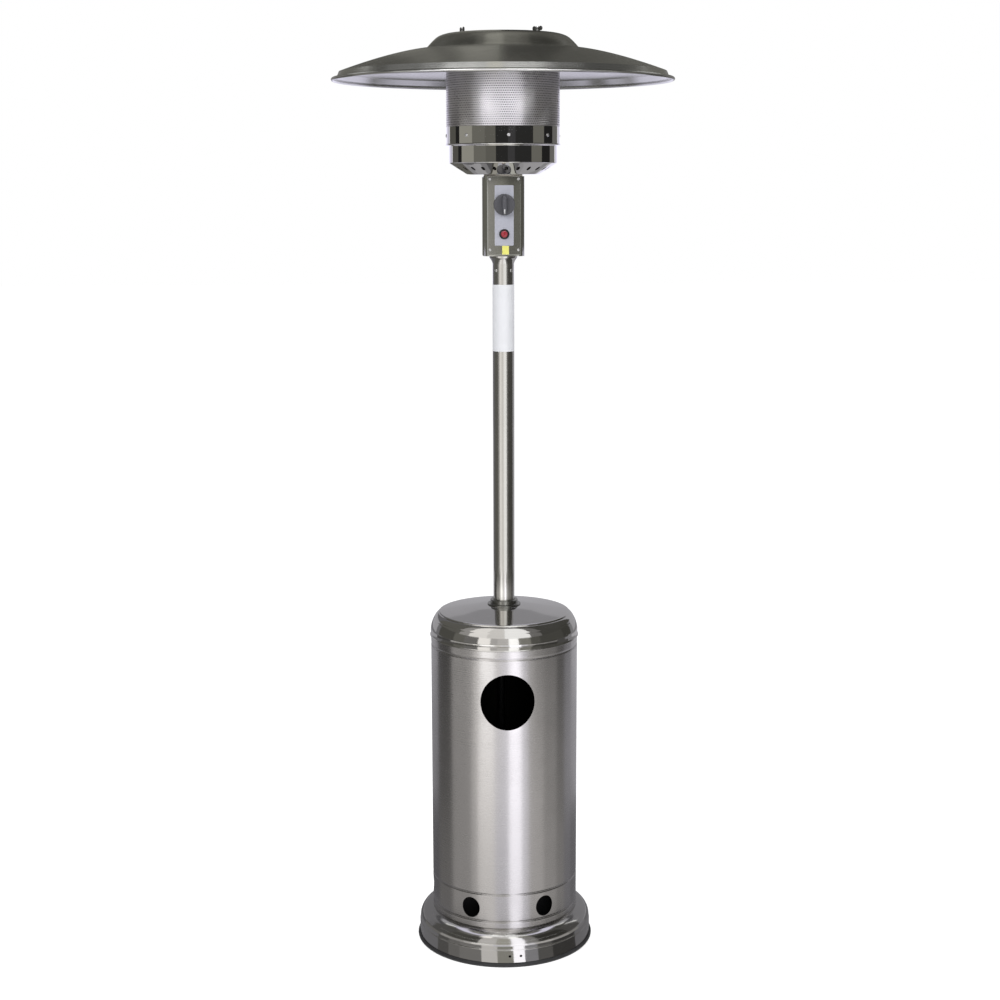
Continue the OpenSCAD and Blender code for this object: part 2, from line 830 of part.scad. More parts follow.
module reflector_studs() {
    z = screen_top_z - 10;
    color(zinc) translate([0, 0, z]) around(stud_angles, stud_circle_r) {
        cylinder(r = 3, h = dome_top_z + 12 - z);
        translate([0, 0, 4]) cylinder(r = 6, h = 6, $fn = 6);
    }
}

module reflector_spacers() {
    z = screen_top_z + 2;
    color(zinc) translate([0, 0, z]) around(stud_angles, stud_circle_r)
        ring(6, 3.1, dome_top_z - dome_t - 0.05 - z);
}

module reflector_washers() {
    color(zinc) translate([0, 0, dome_top_z]) around(stud_angles, stud_circle_r)
        ring(9, 3.1, 1.2);
}

module wing_nuts() {
    wing_turn = [90, 0, 45];
    color(zinc) for (i = [0:2]) around([stud_angles[i]], stud_circle_r)
        translate([0, 0, dome_top_z + 1.2]) rotate([0, 0, wing_turn[i]]) difference() {
            union() {
                cylinder(r1 = 6, r2 = 5, h = 8);
                for (s = [-1, 1]) translate([s * 9, 1, 6.4]) rotate([90, 0, 0])
                    cylinder(r = 5.2, h = 2);
            }
            translate([0, 0, -cut]) cylinder(r = 3.05, h = 20);
        }
}

base_dish();
base_edge_trim();
ballast_plate();
ballast_spacers();
wheel_mount_plate();
leg_bolts();
support_leg_left();
support_leg_right();
support_leg_rear();
pole_bracket();
bracket_bolts();
pole_clamp_screws();
housing_shell();
housing_lid();
lid_collar();
lid_screws();
pole();
pole_label();
gas_tube();
gas_inlet();
inlet_nut();
neck_flange();
neck_screws();
control_base_plate();
base_plate_screws();
control_housing();
control_front_cover();
cover_screws();
control_fascia();
blank_tag();
gas_valve();
valve_plunger();
valve_spindle();
control_knob();
knob_pointer();
igniter_bezel();
igniter_body();
igniter_button();
tilt_switch();
burner_mount_plate();
bowl_gasket();
main_jet();
burner_tube();
burner_bowl();
burner_head();
pilot_burner();
ignition_electrode();
thermocouple();
emitter_band();
band_screws();
emitter_screen();
emitter_top_plate();
reflector_studs();
reflector_spacers();
reflector_dome();
reflector_washers();
wing_nuts();
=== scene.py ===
"""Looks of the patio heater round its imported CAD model. Metres, +Z up, front at -Y.

Outlines are written in millimetres, as in part.scad, and scaled by MM when they are built.
"""

import json
import math

import bmesh
import bpy
from mathutils import Matrix, Vector


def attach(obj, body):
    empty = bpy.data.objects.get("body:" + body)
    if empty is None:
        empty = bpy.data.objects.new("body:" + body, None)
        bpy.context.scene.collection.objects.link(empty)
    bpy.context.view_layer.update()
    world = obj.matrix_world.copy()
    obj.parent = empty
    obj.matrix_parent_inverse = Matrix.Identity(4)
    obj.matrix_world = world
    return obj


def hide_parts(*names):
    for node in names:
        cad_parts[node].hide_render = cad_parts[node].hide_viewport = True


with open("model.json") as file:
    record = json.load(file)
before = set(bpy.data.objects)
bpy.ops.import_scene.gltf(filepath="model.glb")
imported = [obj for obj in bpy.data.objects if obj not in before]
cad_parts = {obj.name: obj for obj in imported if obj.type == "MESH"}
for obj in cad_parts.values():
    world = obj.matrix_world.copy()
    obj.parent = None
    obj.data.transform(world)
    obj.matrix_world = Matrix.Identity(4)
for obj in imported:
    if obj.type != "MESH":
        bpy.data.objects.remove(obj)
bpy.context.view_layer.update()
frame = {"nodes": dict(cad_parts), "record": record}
MM = 0.001

# Sizes shared with part.scad
BASE_H, SKIRT_R = 84.5, 215.5
WHEEL_HOLE_X, WHEEL_HOLE_Z, WHEEL_HOLE_R, WHEEL_SPACING = 16.0, 25.0, 3.3, 27.0
SHELL_R, SHELL_T, SHELL_Z, SHELL_TOP_Z = 181.5, 0.8, 84.8, 797.0
GROOVES = (101.5, 171.5, 766.0)
ACCESS_Z, ACCESS, VENT_Z, VENT = 661.0, (65.5, 69.0), 134.0, (24.0, 26.0)
LID_R, LID_T, LID_EDGE_Z, LID_RIM_Z, LID_TOP_Z, BORE_R = 182.4, 0.9, 785.0, 846.0, 862.0, 26.6
POLE_R, POLE_Z, POLE_TOP_Z = 26.0, 742.0, 1700.0
BOX_W, BOX_WALL, BOX_CORNER, BOX_Z, BOX_TOP_Z = 98.0, 1.2, 18.0, 1719.0, 1906.0
COVER_FRONT, FASCIA_FRONT, PANEL_X = 50.2, 50.8, 0.0
KNOB_Z, KNOB_BACK, KNOB_D = 1840.0, 56.0, 20.0
IGNITER_Z = 1771.0
BOWL_R, BOWL_Z, BOWL_FLOOR_R, CONE_H, SLOTS, SLOT = 128.0, 1910.0, 86.0, 26.0, 24, (4.3, 8.0)
EMITTER_R, BAND_Z, SCREEN_Z, SCREEN_TOP_Z = 134.5, 1981.0, 2021.0, 2183.0
DOME_R, DOME_TOP_Z, KINK_Z, SKIRT_IN_R, SKIRT_OUT_R = 404.5, 2235.0, 2199.0, 190.0, 386.0
HEM_R, HEM_Z = 4.0, 2129.5
STUD_R, STUD_ANGLES, WING_TURN = 102.0, (-160.9, -40.9, 79.1), (90, 0, 45)


# Materials


class Shader:
    """A small helper that adds nodes to one material."""

    def __init__(self, name):
        self.mat = bpy.data.materials.new(name)
        self.mat.use_nodes = True
        self.tree = self.mat.node_tree
        self.bsdf = next(n for n in self.tree.nodes if n.type == "BSDF_PRINCIPLED")
        self.coord = self.add("ShaderNodeTexCoord").outputs["Object"]

    def add(self, kind, **values):
        node = self.tree.nodes.new(kind)
        for key, value in values.items():
            setattr(node, key, value)
        return node

    def link(self, out, socket):
        self.tree.links.new(out, socket)

    def set(self, **values):
        for key, value in values.items():
            self.bsdf.inputs[key.replace("_", " ")].default_value = value

    def math(self, op, a, b=0.0):
        node = self.add("ShaderNodeMath", operation=op)
        for i, v in enumerate((a, b)):
            if isinstance(v, (int, float)):
                node.inputs[i].default_value = v
            else:
                self.link(v, node.inputs[i])
        return node.outputs[0]

    def scaled(self, x, y, z, radial=0.0):
        """Object coordinates with their own scale on each axis, with the radius added to Z."""
        split = self.add("ShaderNodeSeparateXYZ")
        self.link(self.coord, split.inputs[0])
        join = self.add("ShaderNodeCombineXYZ")
        self.link(self.math("MULTIPLY", split.outputs[0], x), join.inputs[0])
        self.link(self.math("MULTIPLY", split.outputs[1], y), join.inputs[1])
        height = self.math("MULTIPLY", split.outputs[2], z)
        if radial:
            height = self.math("ADD", height, self.math("MULTIPLY", self.radius(), radial))
        self.link(height, join.inputs[2])
        return join.outputs[0]

    def flat(self):
        """Object coordinates without their height."""
        node = self.add("ShaderNodeVectorMath", operation="MULTIPLY")
        node.inputs[1].default_value = (1, 1, 0)
        self.link(self.coord, node.inputs[0])
        return node.outputs[0]

    def radius(self):
        """Distance from the axis of the pole."""
        node = self.add("ShaderNodeVectorMath", operation="LENGTH")
        self.link(self.flat(), node.inputs[0])
        return node.outputs["Value"]

    def outwards(self):
        """More than 0 where the surface faces away from the pole."""
        node = self.add("ShaderNodeVectorMath", operation="DOT_PRODUCT")
        self.link(self.flat(), node.inputs[0])
        self.link(self.coord.node.outputs["Normal"], node.inputs[1])
        return node.outputs["Value"]

    def noise(self, coord, scale=1.0, detail=4.0, rough=0.55):
        node = self.add("ShaderNodeTexNoise")
        node.inputs["Scale"].default_value = scale
        node.inputs["Detail"].default_value = detail
        node.inputs["Roughness"].default_value = rough
        self.link(coord, node.inputs["Vector"])
        return node.outputs["Fac"]

    def spread(self, value, low, high, start=0.3, end=0.7):
        """Maps a value from start..end to low..high."""
        node = self.add("ShaderNodeMapRange")
        self.link(value, node.inputs["Value"])
        for key, v in (("From Min", start), ("From Max", end), ("To Min", low), ("To Max", high)):
            node.inputs[key].default_value = v
        return node.outputs[0]

    def blend(self, fac, a, b):
        node = self.add("ShaderNodeMix", data_type="RGBA")
        self.link(fac, node.inputs[0])
        for socket, v in ((node.inputs[6], a), (node.inputs[7], b)):
            if isinstance(v, tuple):
                socket.default_value = (*v, 1)
            else:
                self.link(v, socket)
        return node.outputs[2]

    def bump(self, height, distance, strength=1.0):
        node = self.add("ShaderNodeBump")
        node.inputs["Distance"].default_value = distance
        node.inputs["Strength"].default_value = strength
        self.link(height, node.inputs["Height"])
        self.link(node.outputs[0], self.bsdf.inputs["Normal"])


def darker(colour, k):
    return tuple(min(1.0, c * k) for c in colour)


GRAINS = {
    "ring": dict(x=4, y=4, z=1400, radial=1400),
    "up": dict(x=1100, y=1100, z=5),
    "side": dict(x=5, y=5, z=1300),
    "none": dict(x=260, y=260, z=260),
}


def metal(name, colour, rough, grain="ring", depth=0.00001, aniso=0.0, vary=0.06, stain=0.05,
          paint_shade_on_inner_face=False, paint_shade_to_radius=0.0):
    """Metal with its brushing as fine relief, and with faint cloudy handling marks. Faces turned
    towards the pole can be painted near black and made duller: painted shade for the inside of a
    turned sheet. The base can be painted near black and made duller up to a radius: painted shade
    inside the housing that stands on it."""
    s = Shader(name)
    lines = s.noise(s.scaled(**GRAINS[grain]), 1.0, 3.0)
    clouds = s.noise(s.coord, 9.0, 5.0, 0.6)
    fine = s.noise(s.coord, 55.0, 3.0)
    tone = s.blend(s.spread(lines, 0, 1), darker(colour, 1 - vary), darker(colour, 1 + vary))
    tone = s.blend(s.spread(clouds, 0, stain * 4, 0.45, 0.75), tone, darker(colour, 0.72))
    wear = s.math("ADD", s.spread(clouds, -rough / 9, rough / 9), s.spread(fine, -0.01, 0.01))
    level = s.math("ADD", wear, s.spread(lines, rough * 0.9, rough * 1.1))
    # Painted shade: faces turned towards the pole get a near-black colour, for the shade inside
    # the sheet.
    if paint_shade_on_inner_face:
        shade_mask = s.math("LESS_THAN", s.outwards(), 0.0)
        tone = s.blend(shade_mask, tone, (0.022, 0.021, 0.020))
        level = s.math("ADD", level, s.math("MULTIPLY", shade_mask, 0.35))
    # Painted shade: the base within the radius gets a near-black colour, for the shade inside the
    # housing.
    if paint_shade_to_radius:
        shade_mask = s.math("LESS_THAN", s.radius(), paint_shade_to_radius)
        tone = s.blend(shade_mask, tone, (0.06, 0.06, 0.058))
        level = s.math("ADD", level, s.math("MULTIPLY", shade_mask, 0.4))
    s.link(tone, s.bsdf.inputs["Base Color"])
    s.link(s.math("MAXIMUM", level, 0.03), s.bsdf.inputs["Roughness"])
    s.set(Metallic=1.0, Anisotropic=aniso, Anisotropic_Rotation=0.25 if grain == "ring" else 0.0)
    if aniso:
        tangent = s.add("ShaderNodeTangent", direction_type="RADIAL", axis="Z")
        s.link(tangent.outputs[0], s.bsdf.inputs["Tangent"])
    s.bump(lines, depth)
    return s.mat


def plastic(name, colour, rough, grain_scale=900.0, depth=0.00004, coat=0.0, vary=0.12):
    s = Shader(name)
    grain = s.noise(s.coord, grain_scale, 2.0)
    clouds = s.noise(s.coord, 30.0, 4.0)
    s.link(s.blend(s.spread(clouds, 0, 1), darker(colour, 1 - vary), darker(colour, 1 + vary)),
           s.bsdf.inputs["Base Color"])
    s.link(s.math("ADD", s.spread(clouds, -0.04, 0.04), s.spread(grain, rough * 0.9, rough * 1.1)),
           s.bsdf.inputs["Roughness"])
    s.set(Coat_Weight=coat, Coat_Roughness=0.08)
    s.bump(grain, depth)
    return s.mat


def rough_cast(name, colour, rough, scale, depth, metallic=0.0):
    """Cast, powder-coated or fibrous surface with a pebbly relief."""
    s = Shader(name)
    cells = s.add("ShaderNodeTexVoronoi", feature="SMOOTH_F1")
    cells.inputs["Scale"].default_value = scale
    s.link(s.coord, cells.inputs["Vector"])
    clouds = s.noise(s.coord, 24.0, 5.0)
    s.link(s.blend(s.spread(clouds, 0, 1), darker(colour, 0.82), darker(colour, 1.2)),
           s.bsdf.inputs["Base Color"])
    s.link(s.spread(clouds, rough - 0.08, rough + 0.08), s.bsdf.inputs["Roughness"])
    s.set(Metallic=metallic)
    s.bump(cells.outputs["Distance"], depth, 0.6)
    return s.mat


# Painted shade: the base is painted near black inside the housing, within 0.178 m of the pole.
BASE_STEEL = metal("base_steel", (0.66, 0.65, 0.63), 0.13, "ring", 3e-7, 0.3, 0.02,
                   paint_shade_to_radius=0.178)
MIRROR_STEEL = metal("mirror_steel", (0.66, 0.65, 0.62), 0.04, "ring", 2e-7, 0.0, 0.01, 0.01)
MATS = {
    "polished_steel": metal("polished_steel", (0.66, 0.65, 0.63), 0.10, "ring", 3e-7, 0.3, 0.02),
    "edge_rubber": rough_cast("edge_rubber", (0.035, 0.035, 0.036), 0.62, 700, 5e-5),
    "ballast_iron": rough_cast("ballast_iron", (0.10, 0.10, 0.10), 0.7, 260, 4e-4, 0.6),
    "zinc_steel": metal("zinc_steel", (0.68, 0.68, 0.67), 0.26, "none", 2e-5),
    "leg_coating": rough_cast("leg_coating", (0.028, 0.028, 0.03), 0.5, 900, 6e-5),
    # Painted shade: the housing's inner face is painted near black.
    "brushed_steel": metal("brushed_steel", (0.60, 0.585, 0.58), 0.26, "ring", 1e-6, 0.6, 0.025,
                           0.03, True),
    # Painted shade: the collar's stainless is painted at about half brightness, for the shadow gap
    # round the foot of the pole.
    "collar_steel": metal("collar_steel", (0.30, 0.30, 0.28), 0.22, "ring", 2e-6, 0.3),
    "pole_steel": metal("pole_steel", (0.62, 0.61, 0.58), 0.16, "side", 1e-6, 0.3, 0.03),
    "label_film": plastic("label_film", (0.86, 0.87, 0.90), 0.35, 400, 1e-5, 0.3, 0.02),
    "gas_aluminium": metal("gas_aluminium", (0.74, 0.74, 0.75), 0.3, "up", 1e-5),
    "gas_brass": metal("gas_brass", (0.72, 0.54, 0.24), 0.28, "none", 2e-5),
    "box_steel": metal("box_steel", (0.44, 0.44, 0.41), 0.10, "side", 1e-6, 0.0, 0.02),
    "fascia_film": plastic("fascia_film", (0.47, 0.48, 0.55), 0.28, 700, 1e-5, 0.5, 0.03),
    "tag_film": plastic("tag_film", (0.88, 0.85, 0.20), 0.35, 500, 1e-5, 0.2, 0.04),
    "knob_plastic": plastic("knob_plastic", (0.075, 0.075, 0.085), 0.38, 1500, 6e-5),
    "pointer_plastic": plastic("pointer_plastic", (0.82, 0.82, 0.82), 0.3, 900, 1e-5, 0.2, 0.03),
    "black_plastic": plastic("black_plastic", (0.022, 0.022, 0.024), 0.3, 1200, 3e-5, 0.2),
    "button_plastic": plastic("button_plastic", (0.34, 0.01, 0.025), 0.2, 900, 1e-5, 0.6),
    "switch_plastic": plastic("switch_plastic", (0.78, 0.75, 0.68), 0.4),
    "gasket_fibre": rough_cast("gasket_fibre", (0.66, 0.63, 0.56), 0.9, 1400, 1.5e-4),
    "burner_steel": metal("burner_steel", (0.30, 0.28, 0.26), 0.38, "none", 4e-5, 0, 0.15, 0.15),
    "electrode_ceramic": rough_cast("electrode_ceramic", (0.85, 0.83, 0.79), 0.5, 1500, 3e-5),
    # Painted shade: the emitter screen's inner face is painted near black.
    "emitter_steel": metal("emitter_steel", (0.66, 0.64, 0.65), 0.30, "ring", 3e-6, 0.4,
                           0.06, 0.05, True),
    "reflector_aluminium": metal("reflector_aluminium", (0.52, 0.52, 0.50), 0.22, "ring", 1e-6,
                                 0.7, 0.04),
}


# Mesh builders


def arc(centre, r, start, end, steps):
    angles = [math.radians(start + (end - start) * i / steps) for i in range(steps + 1)]
    return [(centre[0] + r * math.cos(a), centre[1] + r * math.sin(a)) for a in angles]


def curve_through(points, steps):
    """A smooth curve through the points."""
    ends = [points[0], *points, points[-1]]
    out = []
    for a, b, c, d in zip(ends, ends[1:], ends[2:], ends[3:]):
        for i in range(steps):
            t = i / steps
            out.append(tuple(
                0.5 * (2 * q + (r - p) * t + (2 * p - 5 * q + 4 * r - s) * t * t
                       + (3 * q - p - 3 * r + s) * t**3)
                for p, q, r, s in zip(a, b, c, d)))
    return [*out, points[-1]]


def link_object(name, data):
    obj = bpy.data.objects.new(name, data)
    bpy.context.scene.collection.objects.link(obj)
    return obj


def object_from(name, bm):
    """An object with the mesh that bm holds."""
    mesh = bpy.data.meshes.new(name)
    bm.to_mesh(mesh)
    bm.free()
    return link_object(name, mesh)


def to_mesh(name, verts, faces):
    """A mesh object from millimetres, with its normals outward and its sharp edges marked."""
    bm = bmesh.new()
    made = [bm.verts.new(Vector(v) * MM) for v in verts]
    for f in faces:
        bm.faces.new([made[i] for i in f])
    return from_bmesh(name, bm)


def from_bmesh(name, bm, angle=32):
    bmesh.ops.remove_doubles(bm, verts=bm.verts, dist=1e-7)
    bmesh.ops.recalc_face_normals(bm, faces=bm.faces)
    for f in bm.faces:
        f.smooth = True
    for e in bm.edges:
        e.smooth = len(e.link_faces) == 2 and e.calc_face_angle(0) < math.radians(angle)
    return object_from(name, bm)


def ring_faces(n, rings, closed=False):
    """Faces, as lists of point numbers, between neighbouring rings of n points each."""
    out = []
    for k in range(rings if closed else rings - 1):
        m = (k + 1) % rings
        out += [(k * n + i, k * n + (i + 1) % n, m * n + (i + 1) % n, m * n + i)
                for i in range(n)]
    return out


def loft(bm, rings):
    """Faces between neighbouring rings of vertices, with the first and last ring filled."""
    for a, b in zip(rings, rings[1:]):
        for k in range(len(a)):
            n = (k + 1) % len(a)
            bm.faces.new((a[k], a[n], b[n], b[k]))
    bm.faces.new(rings[0])
    bm.faces.new(rings[-1])


def lathe(name, outline, seg=128, axis=None, angle=32):
    """Turns an outline of (radius, height) round Z, or round another axis given as a matrix."""
    bm = bmesh.new()
    rings = []
    for r, z in outline:
        if abs(r) < 1e-9:
            rings.append([bm.verts.new((0, 0, z * MM))] * seg)
        else:
            turn = [2 * math.pi * k / seg for k in range(seg)]
            rings.append([bm.verts.new((r * MM * math.sin(t), -r * MM * math.cos(t), z * MM))
                          for t in turn])
    for a, b in zip(rings, rings[1:] + rings[:1]):
        for k in range(seg):
            n = (k + 1) % seg
            corner = list(dict.fromkeys((a[k], a[n], b[n], b[k])))
            if len(corner) > 2:
                bm.faces.new(corner)
    if axis is not None:
        bmesh.ops.transform(bm, matrix=axis, verts=bm.verts)
    return from_bmesh(name, bm, angle)


def front_axis(x, y, z):
    """Places something built up along Z so that it points to the front from (x, y, z)."""
    return Matrix.Translation(Vector((x, y, z)) * MM) @ Matrix.Rotation(math.pi / 2, 4, "X")


def radial_axis(angle, r, z):
    """Places something built up along Z so that it points away from the pole."""
    return (Matrix.Rotation(math.radians(angle), 4, "Z")
            @ Matrix.Translation((r * MM, 0, z * MM)) @ Matrix.Rotation(math.pi / 2, 4, "Y"))


def dress(obj, body, slot, *nodes, look=None):
    """Gives a piece its material and body, and hides the CAD nodes that it stands for."""
    obj.data.materials.clear()
    obj.data.materials.append(look or MATS[slot])
    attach(obj, body)
    if nodes:
        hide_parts(*nodes)
    return obj


def join(name, objs):
    """One object from several, with their meshes as they stand."""
    bm = bmesh.new()
    for o in objs:
        start = len(bm.verts)
        bm.from_mesh(o.data)
        bm.verts.ensure_lookup_table()
        bmesh.ops.transform(bm, matrix=o.matrix_world, verts=bm.verts[start:])
        bpy.data.objects.remove(o)
    return object_from(name, bm)


class Wall:
    """A sheet turned round the pole, given by its outline, on which holes can be placed."""

    def __init__(self, outline):
        self.points = outline
        self.along = [0.0]
        for a, b in zip(outline, outline[1:]):
            self.along.append(self.along[-1] + math.dist(a, b))
        self.length = self.along[-1]

    def at(self, s):
        s = min(max(s, 0.0), self.length)
        low, high = 0, len(self.along) - 1
        while high - low > 1:
            mid = (low + high) // 2
            low, high = (mid, high) if self.along[mid] <= s else (low, mid)
        t = (s - self.along[low]) / (self.along[high] - self.along[low])
        a, b = self.points[low], self.points[high]
        return a[0] + (b[0] - a[0]) * t, a[1] + (b[1] - a[1]) * t

    def normal(self, s):
        a, b = self.at(s - 0.4), self.at(s + 0.4)
        dr, dz = b[0] - a[0], b[1] - a[1]
        size = math.hypot(dr, dz)
        return dz / size, -dr / size

    def place(self, u, s, depth):
        r, z = self.at(s)
        nr, nz = self.normal(s)
        r, z = r - nr * depth, z - nz * depth
        return Vector((r * math.sin(u), -r * math.cos(u), z)), Vector(
            (nr * math.sin(u), -nr * math.cos(u), nz))


def pierced(name, wall, us, ss, holes, thick, rings=3):
    """A turned sheet with oval holes. us and ss are grid lines round and along it. A hole is
    its middle (u, s), its half width and half height, and the first and last grid lines of the
    block that it sits in."""
    nu, ns = len(us), len(ss)
    verts, normals, faces, kinds, index = [], [], [], [], {}

    def vertex(u, s, depth):
        key = (round(u % (2 * math.pi), 7), round(s, 5), depth)
        if key not in index:
            p, n = wall.place(u, s, depth)
            index[key] = len(verts)
            verts.append(p * MM)
            normals.append(n)
        return index[key]

    def face(corners, kind):
        faces.append(corners)
        kinds.append(kind)

    def both_sides(quad):
        face([vertex(*q, 0.0) for q in quad], 1)
        face([vertex(*q, thick) for q in reversed(quad)], -1)

    taken = set()
    for middle, half, i0, i1, j0, j1 in holes:
        for i in range(i0, i1):
            for j in range(j0, j1):
                taken.add((i % nu, j))
        edge = ([(i, j0) for i in range(i0, i1)] + [(i1, j) for j in range(j0, j1)]
                + [(i, j1) for i in range(i1, i0, -1)] + [(i0, j) for j in range(j1, j0, -1)])
        turns = [2 * math.pi * (i // nu) for i, _ in edge]
        outer = [(us[i % nu] + w, ss[j]) for (i, j), w in zip(edge, turns)]
        half_u = (max(p[0] for p in outer) - min(p[0] for p in outer)) / 2
        half_s = (ss[j1] - ss[j0]) / 2
        inner = []
        for u, s in outer:
            t = math.atan2((s - middle[1]) / half_s, (u - middle[0]) / half_u)
            s_hole = middle[1] + half[1] * math.sin(t)
            u_hole = middle[0] + math.asin(half[0] * math.cos(t) / wall.at(s_hole)[0])
            inner.append((u_hole, s_hole))
        for k in range(len(outer)):
            n = (k + 1) % len(outer)
            for step in range(rings):
                a, b = step / rings, (step + 1) / rings

                def mixed(m, f):
                    return tuple(p + (q - p) * f for p, q in zip(outer[m], inner[m]))

                both_sides([mixed(k, a), mixed(n, a), mixed(n, b), mixed(k, b)])
            face([vertex(*inner[n], 0.0), vertex(*inner[n], thick),
                  vertex(*inner[k], thick), vertex(*inner[k], 0.0)], 0)
    for i in range(nu):
        wrap = 2 * math.pi if i == nu - 1 else 0.0
        u0, u1 = us[i], us[(i + 1) % nu] + wrap
        for j in range(ns - 1):
            if (i, j) not in taken:
                both_sides([(u0, ss[j]), (u1, ss[j]), (u1, ss[j + 1]), (u0, ss[j + 1])])
        for s, order in ((ss[0], 1), (ss[-1], -1)):
            rim = [vertex(u0, s, 0.0), vertex(u0, s, thick), vertex(u1, s, thick),
                   vertex(u1, s, 0.0)]
            face(rim[::order], 0)
    mesh = bpy.data.meshes.new(name)
    mesh.from_pydata(verts, [], faces)
    mesh.update()
    loops = []
    for poly, kind in zip(mesh.polygons, kinds):
        poly.use_smooth = True
        loops += [normals[v] * kind if kind else poly.normal for v in poly.vertices]
    mesh.normals_split_custom_set([tuple(n) for n in loops])
    return link_object(name, mesh)


def lines(start, end, step):
    """Grid lines from start to end, at most a step apart."""
    n = max(1, math.ceil((end - start) / step - 1e-9))
    return [start + (end - start) * i / n for i in range(n + 1)]


def grid(stops, step):
    out = []
    for a, b in zip(stops, stops[1:]):
        out += lines(a, b, step)[: -1]
    return [*out, stops[-1]]


def nearest(values, v):
    return min(range(len(values)), key=lambda i: abs(values[i] - v))


# Base


def base_profile():
    corner = (SKIRT_R - 1 - 34, BASE_H - 34)
    foot = [(SKIRT_R, 3), (SKIRT_R, 43), (SKIRT_R - 0.25, 44.2), (SKIRT_R - 1.1, 45.2)]
    return [*foot, (SKIRT_R - 1.15, 46.4), *arc(corner, 34, 0, 90, 40)[2:],
            *[(r, BASE_H) for r in range(176, 0, -8)]]


def make_base():
    wall = Wall(base_profile())
    block = 5.6  # half the square of grid lines that a hole sits in
    half_block = math.asin(block / SKIRT_R)
    middles = [math.asin((WHEEL_HOLE_X + side * WHEEL_SPACING / 2) / SKIRT_R)
               for side in (-1, 1)]
    stops = [math.radians(-8.0)]
    for m in middles:
        stops += [m - half_block, m, m + half_block]
    us = grid([*stops, math.radians(350.4)], math.radians(1.6))
    low, high = WHEEL_HOLE_Z - block, WHEEL_HOLE_Z + block
    z_stops = [0.0, low, WHEEL_HOLE_Z, high, 40.0]
    ss = grid(z_stops, 2.8) + [s for s in grid([40.0, 46.0, 100.0], 1.5)[1:]]
    ss += lines(ss[-1], wall.length - 4, 8)[1:]
    holes = []
    for m in middles:
        holes.append(((m, WHEEL_HOLE_Z), (WHEEL_HOLE_R, WHEEL_HOLE_R),
                      nearest(us, m - half_block), nearest(us, m + half_block),
                      nearest(ss, low), nearest(ss, high)))
    dish = pierced("base_pressing", wall, us, ss, holes, 1.5)
    dress(dish, "stand", "polished_steel", "base_dish", look=BASE_STEEL)
    edge = [(212.9, 0), (216, 0), *curve_through([(217.6, 0.4), (219, 1.4), (220.1, 3.2),
                                                  (220.5, 5.4), (220.4, 7.6), (219.3, 9.4),
                                                  (217.8, 10.2)], 3),
            (216.6, 10.5), (215.8, 10.4), (215.7, 9.8), (215.7, 2.8), (213.8, 2.8), (213.8, 8.9),
            (212.9, 8.9)]
    dress(lathe("base_edging", edge, 224), "stand", "edge_rubber", "base_edge_trim")


# Bottle housing


def groove_depth(z):
    return sum(1.2 * math.exp(-((z - g) / 2.2) ** 2) for g in GROOVES)


def make_shell():
    heights = grid([SHELL_Z, SHELL_TOP_Z], 0.5)
    wall = Wall([(SHELL_R - groove_depth(z), z) for z in heights])
    us = [math.radians(d) for d in grid([0, 23, 37, 83, 97, 143, 157, 203, 217, 263, 277,
                                         323, 337, 360], 2.5)][:-1]
    half_vent = math.radians(10.5)
    # The blocks need grid lines of their own
    blocks = [math.radians(a) + s * half_vent for a in range(30, 360, 60) for s in (-1, 0, 1)]
    us = sorted({round(u, 9) for u in us if all(abs(u - b) > 0.02 for b in blocks)}
                | {round(b, 9) for b in blocks})
    z0 = SHELL_Z
    s_stops = [0, 9, 16.7, VENT_Z - z0 - 27.5, VENT_Z - z0, VENT_Z - z0 + 27.5, 86.7, 94, 102,
               ACCESS_Z - z0 - 78, ACCESS_Z - z0, ACCESS_Z - z0 + 78, 673, 681.2, 689,
               wall.length]
    ss = []
    for a, b in zip(s_stops, s_stops[1:]):
        near_groove = any(abs((a + b) / 2 + z0 - g) < 9 for g in GROOVES)
        ss += lines(a, b, 0.5 if near_groove else 8)[:-1]
    ss.append(wall.length)
    holes = []
    for a in range(30, 360, 60):
        m = math.radians(a)
        holes.append(((m, VENT_Z - z0), VENT, nearest(us, m - half_vent),
                      nearest(us, m + half_vent), nearest(ss, VENT_Z - z0 - 27.5),
                      nearest(ss, VENT_Z - z0 + 27.5)))
    side = nearest(us, math.radians(25.5))
    holes.append(((0.0, ACCESS_Z - z0), ACCESS, -(len(us) - nearest(us, math.radians(334.5))),
                  side, nearest(ss, ACCESS_Z - z0 - 78), nearest(ss, ACCESS_Z - z0 + 78)))
    shell = pierced("housing_wall", wall, us, ss, holes, SHELL_T)
    dress(shell, "housing", "brushed_steel", "housing_shell")


def lid_profile():
    w, h, foot = 20.0, 40.0, LID_RIM_Z - 44
    edge = LID_R - w
    top = [(BORE_R, LID_TOP_Z), (44, LID_TOP_Z), (80, 857.1), (120, 851.5),
           (edge - 4.4, LID_RIM_Z + 0.2), (edge - 2.6, LID_RIM_Z - 0.2),
           (edge - 1.2, LID_RIM_Z - 1), (edge - 0.5, LID_RIM_Z - 2.2), (edge - 0.2, foot + h)]
    shoulder, power = [], 2 / 1.5  # a curve a little squarer inwards than an ellipse
    for i in range(61):
        a = math.radians(90 * i / 60)
        r = edge + w * math.sin(a) ** power
        z = foot + h * math.cos(a) ** power
        bead = 0.35 * math.exp(-((z - 829.5) / 1.2) ** 2)
        shoulder.append((r - bead, z - bead * 0.4))
    return [*top, *shoulder, (LID_R, LID_EDGE_Z + 5), (LID_R + 0.3, LID_EDGE_Z + 4.2),
            *arc((LID_R, LID_EDGE_Z + 2), 1.6, 60, -60, 6)]


